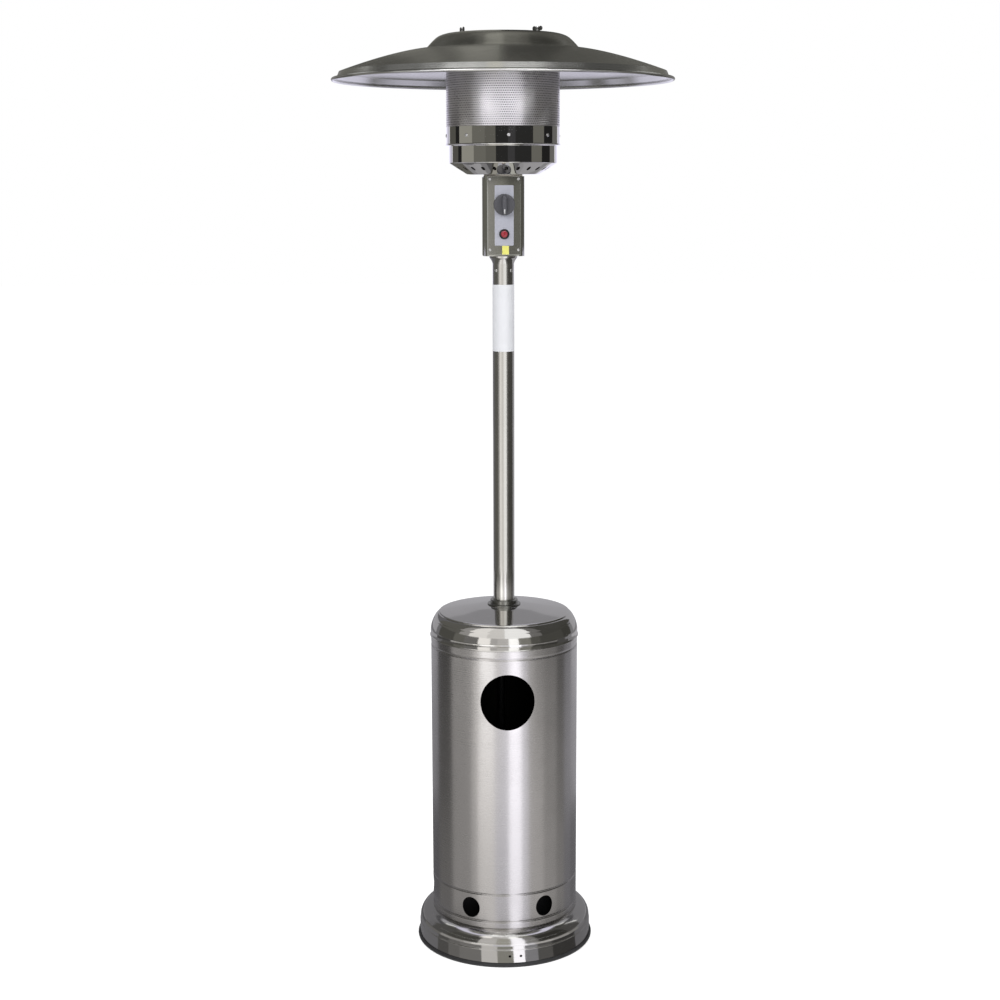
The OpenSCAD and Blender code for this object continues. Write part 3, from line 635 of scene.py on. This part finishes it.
def make_lid():
    outer = lid_profile()
    rolled_edge = 9  # points at the profile's end
    inner = [(max(BORE_R, r - LID_T), z - LID_T) for r, z in outer[:-rolled_edge]]
    inner += [(LID_R - LID_T, LID_EDGE_Z + 4), (LID_R - LID_T, LID_EDGE_Z)]
    dress(lathe("housing_cap", [*outer, *reversed(inner)], 224), "housing", "polished_steel",
          "housing_lid")
    collar = [(BORE_R, LID_TOP_Z), (40.4, LID_TOP_Z), (41, LID_TOP_Z + 0.6),
              (41, LID_TOP_Z + 2.2), (40.2, LID_TOP_Z + 3), (35, LID_TOP_Z + 3),
              (34, LID_TOP_Z + 4), (34, LID_TOP_Z + 11.8), (32.8, LID_TOP_Z + 13),
              (27.6, LID_TOP_Z + 13), (BORE_R, LID_TOP_Z + 12.2)]
    dress(lathe("pole_collar", collar, 128), "housing", "collar_steel", "lid_collar")


# Pole, neck and control box


def make_pole():
    tube = [(POLE_R - 1.5, POLE_Z), (POLE_R - 0.2, POLE_Z), (POLE_R, POLE_Z + 0.3),
            (POLE_R, POLE_TOP_Z), (POLE_R - 1.5, POLE_TOP_Z)]
    dress(lathe("pole_tube", tube, 128), "stand", "pole_steel", "pole")
    neck = [(22.5, 1660), (24.4, 1660), (24.4, 1700), (26, 1700), (26.4, 1701.2),
            *curve_through([(27.4, 1704.5), (29.8, 1709), (32.4, 1712.6)], 5),
            (33.4, 1713.6), (34, 1715), (34, 1718), (33.2, 1719), (8, 1719), (8, 1713),
            (22.5, 1709)]
    dress(lathe("neck_casting", neck, 128), "stand", "polished_steel", "neck_flange")


def rounded_square(w, r):
    half = w / 2 - r
    out = []
    for cx, cy, start in ((half, half, 0), (-half, half, 90), (-half, -half, 180),
                          (half, -half, 270)):
        out += arc((cx, cy), r, start, start + 90, 10)
    return out


def box_tube():
    """The box's square tube, open at both ends, with its ends softened inwards."""
    outer = rounded_square(BOX_W, BOX_CORNER)
    inner = rounded_square(BOX_W - 2 * BOX_WALL, BOX_CORNER - BOX_WALL)
    rim = 0.5
    levels = [(inner, BOX_Z + rim), (outer, BOX_Z), (outer, BOX_Z + rim),
              (outer, BOX_TOP_Z - rim), (outer, BOX_TOP_Z), (inner, BOX_TOP_Z - rim)]
    verts = [(x, y, z) for ring, z in levels for x, y in ring]
    return to_mesh("box_tube", verts, ring_faces(len(outer), len(levels), True))


def plate(name, x0, x1, z0, z1, back, front, corner, soft, steps=6):
    """A thin upright plate facing the front, with rounded corners and a softened front edge."""
    cx, cz = (x0 + x1) / 2, (z0 + z1) / 2

    def outline(grow):
        pts = []
        for sx, sz, start in ((1, 1, 0), (-1, 1, 90), (-1, -1, 180), (1, -1, 270)):
            c = (cx + sx * ((x1 - x0) / 2 - corner), cz + sz * ((z1 - z0) / 2 - corner))
            pts += arc(c, corner + grow, start, start + 90, steps)
        return pts

    levels = [(outline(0), back), (outline(0), front + soft),
              (outline(-soft * 0.3), front + soft * 0.3), (outline(-soft), front),
              (outline(-soft - 0.3), front), (outline(-soft - 0.6), front)]
    n = len(levels[0][0])
    verts = [(x, y, z) for ring, y in levels for x, z in ring]
    back_face, front_face = tuple(range(n)), tuple(range(len(verts) - n, len(verts)))
    return to_mesh(name, verts, [back_face, front_face, *ring_faces(n, len(levels))])


def make_box():
    dress(box_tube(), "stand", "box_steel", "control_housing")
    cover = plate("box_cover", -39, 39, 1722, 1905, -BOX_W / 2, -COVER_FRONT, 3, 0.5)
    dress(cover, "stand", "box_steel", "control_front_cover")
    fascia = plate("box_fascia", PANEL_X - 22.5, PANEL_X + 22.5, 1744, 1885, -COVER_FRONT,
                   -FASCIA_FRONT, 2.5, 0.25)
    dress(fascia, "stand", "fascia_film", "control_fascia")
    tag = plate("box_tag", PANEL_X - 5, PANEL_X + 11, 1723, 1743.5, -COVER_FRONT,
                -COVER_FRONT - 0.4, 1.2, 0.15)
    dress(tag, "stand", "tag_film", "blank_tag")


def make_knob():
    axis = front_axis(PANEL_X, -KNOB_BACK, KNOB_Z)
    disc = lathe("knob_disc", [(4.2, 0), (23.6, 0), (24.4, 0.5), (25, 1.6), (25, 5.2),
                               *arc((23.2, 5.4), 1.8, 0, 80, 6), (21.5, 7.6), (14, 8.1),
                               (0, 8.2), (0, 6), (4.2, 6)], 96, axis)
    bm = bmesh.new()
    half, bottom, top = 22.5, 7.0, KNOB_D - 0.3
    outline = [*arc((half - 5.2, 0), 5.2, -90, 90, 12), *arc((5.2 - half, 0), 5.2, 90, 270, 12)]
    rings = []
    for grow, z in ((1.0, bottom), (0.4, bottom + 2.5), (0, top - 2.2), (-0.35, top - 1.0),
                    (-1.1, top - 0.3), (-2.2, top)):
        rings.append([bm.verts.new(Vector((y * (1 + grow / 6), x * (1 + grow / 24), z)) * MM)
                      for x, y in outline])
    loft(bm, rings)
    bmesh.ops.transform(bm, matrix=axis, verts=bm.verts)
    grip = from_bmesh("knob_grip", bm, 40)
    dress(join("knob", [disc, grip]), "knob", "knob_plastic", "control_knob")
    front = -KNOB_BACK - KNOB_D
    pointer = plate("knob_mark", PANEL_X - 1.2, PANEL_X + 1.2, KNOB_Z - 21.5, KNOB_Z - 10.5,
                    front + 0.6, front - 0.1, 0.6, 0.2, 4)
    dress(pointer, "knob", "pointer_plastic", "knob_pointer")


def make_igniter():
    axis = front_axis(PANEL_X, -FASCIA_FRONT, IGNITER_Z)
    bezel = [(8.4, 0), (12, 0), (12, 1.2), *arc((10.6, 1.4), 1.4, 0, 60, 5), (10.2, 3.4),
             (9.6, 4), (8.7, 4), (8.4, 3.6)]
    dress(lathe("igniter_ring", bezel, 72, axis), "stand", "black_plastic", "igniter_bezel")
    button = [(0, -20.8), (7.95, -20.8), (7.95, 7.2), *arc((6.6, 7.4), 1.3, 0, 75, 6), (5, 9.15),
              (2.5, 9.4), (0, 9.5)]
    dress(lathe("igniter_cap", button, 64, axis), "button", "button_plastic", "igniter_button")


def screw_head(name, r, h, matrix, shank_r, shank_l):
    """A domed head with a cross recess, on its shank."""
    outline = [(0, -shank_l), (shank_r, -shank_l + 0.6), (shank_r, 0), (r, 0), (r, h * 0.25)]
    steps = 6
    for i in range(1, steps + 1):
        a = math.radians(90 * i / steps)
        outline.append((r * (0.25 + 0.75 * math.cos(a)) if i < steps else r * 0.25,
                        h * (0.25 + 0.75 * math.sin(a))))
    outline.append((0, h))
    head = lathe(name, outline, 32)
    bm = bmesh.new()
    for turn in (0, 90):
        size = Matrix.Diagonal((r * 1.1 * MM, r * 0.24 * MM, h * 0.7 * MM, 1))
        spin = Matrix.Rotation(math.radians(turn + 20), 4, "Z")
        bmesh.ops.create_cube(bm, size=1.0, matrix=Matrix.Translation((0, 0, h * MM))
                              @ spin @ size)
    cutter = from_bmesh("cutter", bm)
    cut = head.modifiers.new("cross", "BOOLEAN")
    cut.object, cut.operation, cut.solver, cut.use_self = cutter, "DIFFERENCE", "EXACT", True
    dg = bpy.context.evaluated_depsgraph_get()
    mesh = bpy.data.meshes.new_from_object(head.evaluated_get(dg))
    head.modifiers.clear()
    head.data = mesh
    bpy.data.objects.remove(cutter)
    heads = []
    for i, m in enumerate(matrix):
        copy = link_object(f"{name}_{i}", head.data)
        copy.matrix_world = m
        heads.append(copy)
    bpy.data.objects.remove(head)
    bpy.context.view_layer.update()
    return join(name, heads)


def make_screws():
    neck = [radial_axis(a, POLE_R, POLE_TOP_Z - 16) for a in (-135, -45, 45, 135)]
    dress(screw_head("neck_bolts", 4, 2, neck, 2, 6), "stand", "zinc_steel", "neck_screws")
    cover = [front_axis(x, -COVER_FRONT, z) for x in (-33.6, 33.6) for z in (1734, 1899.5)]
    dress(screw_head("cover_bolts", 3.4, 1.6, cover, 1.5, 6), "stand", "zinc_steel",
          "cover_screws")
    band = [radial_axis(45 * i + 3, EMITTER_R, 2000) for i in range(8)]
    dress(screw_head("band_bolts", 4, 1.8, band, 1.6, 5), "stand", "zinc_steel", "band_screws")
    lid = [radial_axis(a, LID_R, LID_EDGE_Z + 8) for a in (30, 90, 150)]
    dress(screw_head("lid_bolts", 3.2, 1.4, lid, 1.6, 5), "housing", "zinc_steel", "lid_screws")


# Burner and emitter


def make_bowl():
    cone_r = BOWL_R - 1
    outline = [(14.1, BOWL_Z), (60, BOWL_Z), (82, BOWL_Z), (84.5, BOWL_Z + 0.1),
               (BOWL_FLOOR_R, BOWL_Z + 0.8)]
    start = Wall(outline).length
    outline += [(cone_r, BOWL_Z + CONE_H), *arc((BOWL_R - 1.2, BOWL_Z + CONE_H + 1.4), 1.2, -45,
                                                0, 5),
                (BOWL_R, BAND_Z - 5.4), *arc((BOWL_R + 1.2, BAND_Z - 5.4), 1.2, 180, 105, 4),
                (132, BAND_Z - 3.7), *arc((134.8, BAND_Z - 1.7), 1.7, -80, 90, 10)]
    wall = Wall(outline)
    cone = math.dist((BOWL_FLOOR_R, BOWL_Z + 0.8), (cone_r, BOWL_Z + CONE_H))
    middle, half, pitch = start + cone / 2, SLOT[1] + 2.5, 360 / SLOTS
    us = sorted(math.radians(1.5 + pitch * i + d) for i in range(SLOTS)
                for d in (-5.2, -3.6, -1.8, 0, 1.8, 3.6, 5.2, 7.5))
    ss = grid([0, 50, start], 12)
    ss += grid([start, middle - half, middle + half, start + cone], 2.9)[1:]
    ss += lines(ss[-1], wall.length - 16, 2)[1:] + lines(wall.length - 15, wall.length, 0.5)
    holes = []
    for i in range(SLOTS):
        m = math.radians(1.5 + pitch * i)
        side = math.radians(3.6)
        holes.append(((m, middle), SLOT, nearest(us, m - side), nearest(us, m + side),
                      nearest(ss, middle - half), nearest(ss, middle + half)))
    dress(pierced("burner_pan", wall, us, ss, holes, 1.0), "stand", "polished_steel",
          "burner_bowl", look=MIRROR_STEEL)


def make_emitter():
    z0, z1, r = BAND_Z, SCREEN_Z, EMITTER_R
    band = [(r - 1.2, z0), (r - 0.5, z0), (r, z0 + 0.5), (r, z1 - 0.5), (r - 0.5, z1),
            (r - 1.2, z1)]
    dress(lathe("emitter_ring", band, 192), "stand", "polished_steel", "emitter_band",
          look=MIRROR_STEEL)
    wall = Wall([(r - 0.3, z) for z in grid([SCREEN_Z, SCREEN_TOP_Z], 10)])
    columns, rows, hole = 160, 30, (1.4, 1.4)
    quarter = 2 * math.pi / columns / 4
    us = [quarter * k for k in range(columns * 4)]
    pitch = 5.3
    first = (wall.length - pitch * (rows - 1)) / 2
    stops = [0.0]
    for k in range(rows):
        middle = first + k * pitch
        stops += [middle - 1.9, middle, middle + 1.9]
    ss = [*stops, wall.length]
    holes = []
    for k in range(rows):
        shift = 2 * (k % 2)
        for c in range(columns):
            i = 4 * c + shift
            middle = us[i % len(us)] + (2 * math.pi if i >= len(us) else 0)
            if i == 0:
                holes.append(((0.0, first + k * pitch), hole, -1, 1, 1 + 3 * k, 3 + 3 * k))
            else:
                holes.append(((middle, first + k * pitch), hole, i - 1, i + 1, 1 + 3 * k,
                              3 + 3 * k))
    dress(pierced("emitter_mesh", wall, us, ss, holes, 0.7, 1), "stand", "emitter_steel",
          "emitter_screen")
    top = [(0, SCREEN_TOP_Z), (r - 0.6, SCREEN_TOP_Z), (r, SCREEN_TOP_Z + 0.5),
           (r, SCREEN_TOP_Z + 1.5), (r - 0.6, SCREEN_TOP_Z + 2), (0, SCREEN_TOP_Z + 2)]
    dress(lathe("emitter_cap", top, 192), "stand", "burner_steel", "emitter_top_plate")


# Reflector


def make_reflector():
    crown = curve_through([(112, DOME_TOP_Z), (130, DOME_TOP_Z - 0.7), (142, DOME_TOP_Z - 3),
                           (154, DOME_TOP_Z - 8), (166, DOME_TOP_Z - 18), (180, KINK_Z + 3),
                           (183, KINK_Z)], 6)
    skirt = [(SKIRT_IN_R + (SKIRT_OUT_R - SKIRT_IN_R) * t, KINK_Z - 52 * t**1.38)
             for t in (i / 40 for i in range(41))]
    outer = [(0, DOME_TOP_Z), (60, DOME_TOP_Z), *crown, *skirt[1:], (SKIRT_OUT_R + 5, HEM_Z + 5)]
    hem = arc((DOME_R - HEM_R, HEM_Z), HEM_R, 100, -215, 30)
    outline = [*outer, *hem, *[(max(0, r - 0.6), z - 1) for r, z in reversed(outer)]]
    dress(lathe("reflector_bowl", outline, 288, angle=24), "stand", "reflector_aluminium",
          "reflector_dome")


def make_wing_nuts():
    pieces = []
    for angle, turn in zip(STUD_ANGLES, WING_TURN):
        place = (Matrix.Rotation(math.radians(angle), 4, "Z")
                 @ Matrix.Translation((STUD_R * MM, 0, (DOME_TOP_Z + 1.2) * MM))
                 @ Matrix.Rotation(math.radians(turn), 4, "Z"))
        hub = [(3.05, 0), (5.8, 0), (6, 0.6), (5.6, 5), (5, 7.4), (4.3, 8), (3.05, 8)]
        pieces.append(lathe("hub", hub, 40, place))
        for side in (-1, 1):
            bm = bmesh.new()
            rings = []
            for y, grow in ((-0.2, -0.7), (0, -0.15), (0.5, 0), (1.5, 0), (2.0, -0.15),
                            (2.2, -0.7)):
                rim = arc((9, 6.4), 5.2 + grow, 0, 348, 29)
                rings.append([bm.verts.new(Vector((side * x, y - 1, max(z, 0.8))) * MM)
                              for x, z in rim])
            loft(bm, rings)
            bmesh.ops.transform(bm, matrix=place, verts=bm.verts)
            pieces.append(from_bmesh("wing", bm, 45))
    # Painted reflection: the wing nuts' zinc steel is painted dark, for the dark surroundings that
    # they reflect.
    dress(join("reflector_nuts", pieces), "stand", "zinc_steel", "wing_nuts",
          look=metal("nut_steel_painted_dark", (0.15, 0.15, 0.145), 0.3, "none", 2e-5))


# Stage


def emission(name, colour, strength):
    mat = bpy.data.materials.new(name)
    mat.use_nodes = True
    tree = mat.node_tree
    tree.nodes.clear()
    glow = tree.nodes.new("ShaderNodeEmission")
    glow.inputs["Color"].default_value = (*colour, 1)
    glow.inputs["Strength"].default_value = strength
    tree.links.new(glow.outputs[0], tree.nodes.new("ShaderNodeOutputMaterial").inputs[0])
    return mat


def card(name, start, end, path, level, tint, skin):
    """A studio card or flag that only reflections see: a path of (radius, height) in metres,
    turned round the pole. Degrees are those of the reflection that shows its edge in an
    upright wall of radius skin: they count from the front, to the right."""
    def place(turn, r):
        if abs(turn) >= 180 or not skin:
            return turn
        lag = math.asin(min(1.0, skin * abs(math.sin(math.radians(turn) / 2)) / r))
        return turn - math.copysign(math.degrees(lag), turn)

    bm = bmesh.new()
    rows = []
    for r, z in path:
        turns = [math.radians(place(start + (end - start) * i / 24, r)) for i in range(25)]
        rows.append([bm.verts.new((r * math.sin(t), -r * math.cos(t), z)) for t in turns])
    for a, b in zip(rows, rows[1:]):
        for k in range(24):
            bm.faces.new((a[k], a[k + 1], b[k + 1], b[k]))
    obj = object_from(name, bm)
    obj.data.materials.append(emission(name, tint, level))
    obj.visible_camera = obj.visible_diffuse = obj.visible_shadow = False
    obj.visible_transmission = obj.visible_volume_scatter = False


def ground(*radii):
    return [(r, 0.004) for r in radii]


def upright(r, z0, z1):
    return [(r, z0), (r, z1)]


# Light that the floor adds where it is seen, so that it is white round the object's shadow
FLOOR_GLOW = 0.73
WARM, COOL, OLIVE = (1.0, 0.975, 0.95), (0.98, 0.97, 1.03), (1.0, 0.98, 0.88)
PLAIN, LAVENDER = (1.0, 1.0, 1.0), (0.96, 0.94, 1.12)
ROOM = (-131, -94, -57, -46, -18, 4, 25, 36, 62, 88, 107, 128, 180)
ROOM_TINTS = (COOL, WARM, WARM, WARM, WARM, COOL, COOL, COOL, WARM, WARM, WARM, COOL, COOL)


def room(*levels):
    """The studio as the housing shows it, from the back over the left side to the right."""
    return list(zip(levels, ROOM_TINTS, ROOM))


BASE_SIDES = [(0.10, WARM, -84), (0.08, OLIVE, -58), (0.07, OLIVE, -38), (0.62, WARM, -14),
              (0.42, OLIVE, 6), (1.50, COOL, 24), (0.27, WARM, 42), (0.04, OLIVE, 88),
              (0.09, WARM, 116)]
BOX_FRONT = [(0.24, OLIVE, -58), (0.85, PLAIN, -30), (1.10, WARM, -2), (0.46, WARM, 0.8),
             (0.44, OLIVE, 3), (0.15, OLIVE, 4.3), (0.24, OLIVE, 9), (1.10, PLAIN, 30),
             (0.22, OLIVE, 62), (0.16, OLIVE, 88)]

# Each row of cards is its name, its path, the radius of what shows it, its first edge, and
# its cards: the level, the tint and the last edge of each
CARDS = [
    ("foot", ground(0.223, 0.26, 0.30, 0.36), 0.21, -180,
     [(0.18, COOL, -104), (0.10, WARM, -84), (0.17, WARM, -66), (0.21, WARM, -35),
      (0.66, WARM, -14), (0.30, OLIVE, 7), (1.55, COOL, 22), (0.28, COOL, 40),
      (0.11, WARM, 62), (0.05, WARM, 104), (0.18, COOL, 180)]),
    ("near", ground(0.36, 0.44, 0.54, 0.75, 1.1), 0.18, -180,
     room(0.12, 0.18, 0.36, 0.50, 0.80, 0.70, 1.42, 0.82, 0.54, 0.40, 0.28, 0.22, 0.16)),
    ("middle", ground(1.1, 1.6, 2.3), 0.18, -180,
     room(0.27, 0.12, 0.36, 0.62, 1.12, 0.92, 1.70, 0.98, 0.60, 0.38, 0.24, 0.34, 0.38)),
    ("far", ground(2.3, 3.2, 4.6), 0.18, -180,
     [(0.40, COOL, -131), (0.07, WARM, -94), (0.50, WARM, -64), (0.60, WARM, -52),
      (1.15, WARM, -41), (2.00, PLAIN, -18), (1.12, WARM, -8), (1.22, COOL, 5),
      (2.20, COOL, 23), (0.95, COOL, 34), (0.54, WARM, 47), (0.32, WARM, 66),
      (0.26, WARM, 88), (0.09, WARM, 107), (0.27, COOL, 128), (0.50, COOL, 180)]),
    ("base", upright(1.6, 0.62, 1.65), 0.21, -124, BASE_SIDES),
    ("base_back", upright(1.6, 0.62, 1.15), 0.0, 114, [(0.25, COOL, 180), (0.20, COOL, 248)]),
    ("base_back_high", upright(1.6, 1.15, 1.65), 0.0, 114, [(0.09, COOL, 248)]),
    ("base_far", upright(4.6, 0.0, 1.75), 0.21, -124, BASE_SIDES),
    ("base_far_back", upright(4.6, 0.0, 1.75), 0.0, 114, [(0.25, COOL, 180), (0.20, COOL, 248)]),
    ("lid", upright(0.8, 0.74, 1.16), 0.15, -122,
     [(0.09, OLIVE, -86), (0.16, OLIVE, -66), (0.19, WARM, -43), (1.22, WARM, -24),
      (0.53, WARM, -13), (0.62, WARM, 4), (1.52, PLAIN, 19), (0.26, OLIVE, 38),
      (0.11, OLIVE, 54), (0.08, OLIVE, 100), (0.06, OLIVE, 122)]),
    ("lid_back_low", upright(0.8, 0.74, 0.98), 0.0, 122, [(0.44, COOL, 238)]),
    ("lid_back", upright(0.8, 0.98, 1.20), 0.0, 122, [(0.42, COOL, 238)]),
    ("lid_back_high", upright(0.8, 1.20, 1.52), 0.0, 122, [(0.32, COOL, 238)]),
    ("cone_back", upright(0.8, 1.52, 1.60), 0.0, 122, [(0.60, COOL, 238)]),
    ("pole", upright(0.32, 0.88, 1.70), 0.0, -140,
     [(0.16, COOL, -108), (0.13, OLIVE, -60), (0.38, WARM, -46), (1.05, WARM, -23),
      (0.84, WARM, -2), (1.18, PLAIN, 29), (0.20, WARM, 44), (0.07, OLIVE, 108),
      (0.44, COOL, 140)]),
    ("underside_left", upright(0.8, 1.16, 1.64), 0.0, -133, [(0.88, LAVENDER, -40)]),
    ("underside_right", upright(0.8, 1.16, 1.64), 0.0, 40, [(0.88, LAVENDER, 133)]),
    ("box_low", upright(0.8, 1.64, 1.705), 0.0, -140, [(0.88, LAVENDER, -88), *BOX_FRONT,
     (0.88, LAVENDER, 140)]),
    ("box", upright(0.8, 1.705, 1.905), 0.0, -140, [(0.24, OLIVE, -88), *BOX_FRONT,
     (0.16, OLIVE, 140)]),
    ("box_rear", upright(0.32, 1.70, 1.905), 0.0, 185, [(0.14, OLIVE, 235)]),
    ("bowl", upright(0.8, 1.905, 2.06), 0.13, -140,
     [(0.11, OLIVE, -114), (0.02, PLAIN, -102), (0.37, OLIVE, -68), (0.19, OLIVE, -40),
      (0.15, OLIVE, -18), (0.03, PLAIN, 7), (0.06, COOL, 22), (0.03, PLAIN, 60),
      (0.18, OLIVE, 88), (0.02, PLAIN, 116), (0.18, WARM, 140)]),
    ("emitter", upright(0.8, 2.06, 2.26), 0.13, -150,
     [(0.26, WARM, -66), (1.00, PLAIN, -48), (2.60, COOL, 38), (0.66, PLAIN, 62),
      (0.24, WARM, 150)]),
    ("lip", upright(0.8, 2.26, 2.43), 0.13, -150,
     [(0.20, OLIVE, -38), (3.60, PLAIN, -18), (1.30, PLAIN, -2), (3.60, PLAIN, 21),
      (0.40, OLIVE, 40), (0.20, OLIVE, 150)]),
    ("underside", upright(0.8, 1.60, 2.20), 0.0, 133,
     [(0.85, LAVENDER, 148), (1.05, LAVENDER, 212), (0.70, LAVENDER, 227)]),
    ("reflector", upright(0.8, 2.20, 3.08), 0.0, 120,
     [(0.14, OLIVE, 150), (0.12, OLIVE, 162), (0.05, OLIVE, 176.5), (0.11, OLIVE, 178.3),
      (0.32, OLIVE, 188.6), (0.22, OLIVE, 191.5), (0.12, OLIVE, 194.5), (0.22, OLIVE, 203),
      (0.12, OLIVE, 240)]),
    ("reflector_high", upright(0.8, 3.08, 3.60), 0.0, 120, [(0.14, OLIVE, 240)]),
    ("brim", upright(0.8, 2.43, 2.74), 0.4, -120,
     [(0.10, PLAIN, -100), (0.27, PLAIN, -66), (0.43, PLAIN, -47), (0.64, PLAIN, -30),
      (0.82, PLAIN, -15), (0.94, OLIVE, -4), (0.72, PLAIN, 10), (0.58, PLAIN, 22),
      (0.42, PLAIN, 36), (0.20, PLAIN, 60), (0.10, PLAIN, 120)]),
    ("high_front", upright(0.8, 2.74, 3.60), 0.0, -120, [(0.08, OLIVE, 0), (0.06, OLIVE, 120)]),
    ("roof_edge", [(0.8, 3.60), (0.58, 3.605)], 0.0, -124,
     [(0.07, OLIVE, 124), (0.24, OLIVE, 236)]),
    ("roof", [(0.58, 3.605), (0.38, 3.61)], 0.0, -124, [(0.17, OLIVE, 124), (0.27, OLIVE, 236)]),
    ("roof_middle", [(0.38, 3.61), (0.001, 3.62)], 0.0, -124,
     [(0.46, OLIVE, 0), (0.24, OLIVE, 124), (0.34, OLIVE, 180), (0.48, OLIVE, 236)]),
]


def make_stage():
    for name, path, skin, start, row in CARDS:
        for i, (level, tint, end) in enumerate(row):
            card(f"{name}_card_{i}", start, end, path, level, tint, skin)
            start = end
    bpy.ops.mesh.primitive_plane_add(size=60)
    floor = bpy.context.object
    floor.name = "studio_floor"
    s = Shader("studio_floor")
    s.set(Base_Color=(0.62, 0.62, 0.62, 1), Roughness=0.9, Specular_IOR_Level=0.0)
    out = next(n for n in s.tree.nodes if n.type == "OUTPUT_MATERIAL")
    glow = s.add("ShaderNodeEmission")
    both = s.add("ShaderNodeAddShader")
    s.link(s.math("MULTIPLY", seen_rays(s.tree), FLOOR_GLOW), glow.inputs["Strength"])
    s.link(s.bsdf.outputs[0], both.inputs[0])
    s.link(glow.outputs[0], both.inputs[1])
    s.link(both.outputs[0], out.inputs[0])
    floor.data.materials.append(s.mat)


def seen_rays(tree):
    """1 for camera, glossy and transmission rays, 0 for those that light the object."""
    path = tree.nodes.new("ShaderNodeLightPath")
    value = path.outputs["Is Camera Ray"]
    for name in ("Is Glossy Ray", "Is Transmission Ray"):
        most = tree.nodes.new("ShaderNodeMath")
        most.operation = "MAXIMUM"
        tree.links.new(value, most.inputs[0])
        tree.links.new(path.outputs[name], most.inputs[1])
        value = most.outputs[0]
    return value


def make_world():
    world = bpy.data.worlds.new("studio")
    bpy.context.scene.world = world
    world.use_nodes = True
    tree = world.node_tree
    background = next(n for n in tree.nodes if n.type == "BACKGROUND")
    mix = tree.nodes.new("ShaderNodeMix")
    mix.data_type = "RGBA"
    mix.inputs[6].default_value = (0.46, 0.46, 0.47, 1)
    mix.inputs[7].default_value = (1, 1, 1, 1)
    tree.links.new(seen_rays(tree), mix.inputs[0])
    tree.links.new(mix.outputs[2], background.inputs[0])


def make_lamp(name, place, target, size, watts):
    lamp = bpy.data.lights.new(name, "AREA")
    lamp.shape, lamp.size, lamp.energy = "SQUARE", size, watts
    obj = link_object(name, lamp)
    obj.location = place
    obj.rotation_euler = (Vector(target) - Vector(place)).to_track_quat("-Z", "Y").to_euler()
    obj.visible_glossy = False


def make_camera():
    data = bpy.data.cameras.new("camera")
    data.lens, data.sensor_width, data.shift_x = 64.62, 36.0, -0.00295
    cam = link_object("camera", data)
    cam.location = (-0.205, -4.338, 1.889)
    cam.rotation_euler = (math.radians(80), math.radians(0.126), math.radians(-2.7))
    bpy.context.scene.camera = cam


def dress_cad_nodes():
    """Every CAD node that stays visible gets its own material."""
    slots = {p["node"]: p["material_slot"] for p in frame["record"]["subparts"]}
    for name, node in frame["nodes"].items():
        node.data.materials.clear()
        node.data.materials.append(MATS[slots[name]])


dress_cad_nodes()
make_base()
make_shell()
make_lid()
make_pole()
make_box()
make_knob()
make_igniter()
make_screws()
make_bowl()
make_emitter()
make_reflector()
make_wing_nuts()
make_stage()
make_world()
make_lamp("key", (-2.2, -3.0, 3.4), (0, 0, 1.1), 2.2, 84)
make_lamp("fill", (2.6, -2.4, 2.2), (0, 0, 1.1), 2.4, 42)
make_lamp("back", (0.5, 3.0, 3.2), (0, 0, 1.3), 2.0, 40)
make_camera()
bpy.context.scene.view_settings.view_transform = "Standard"
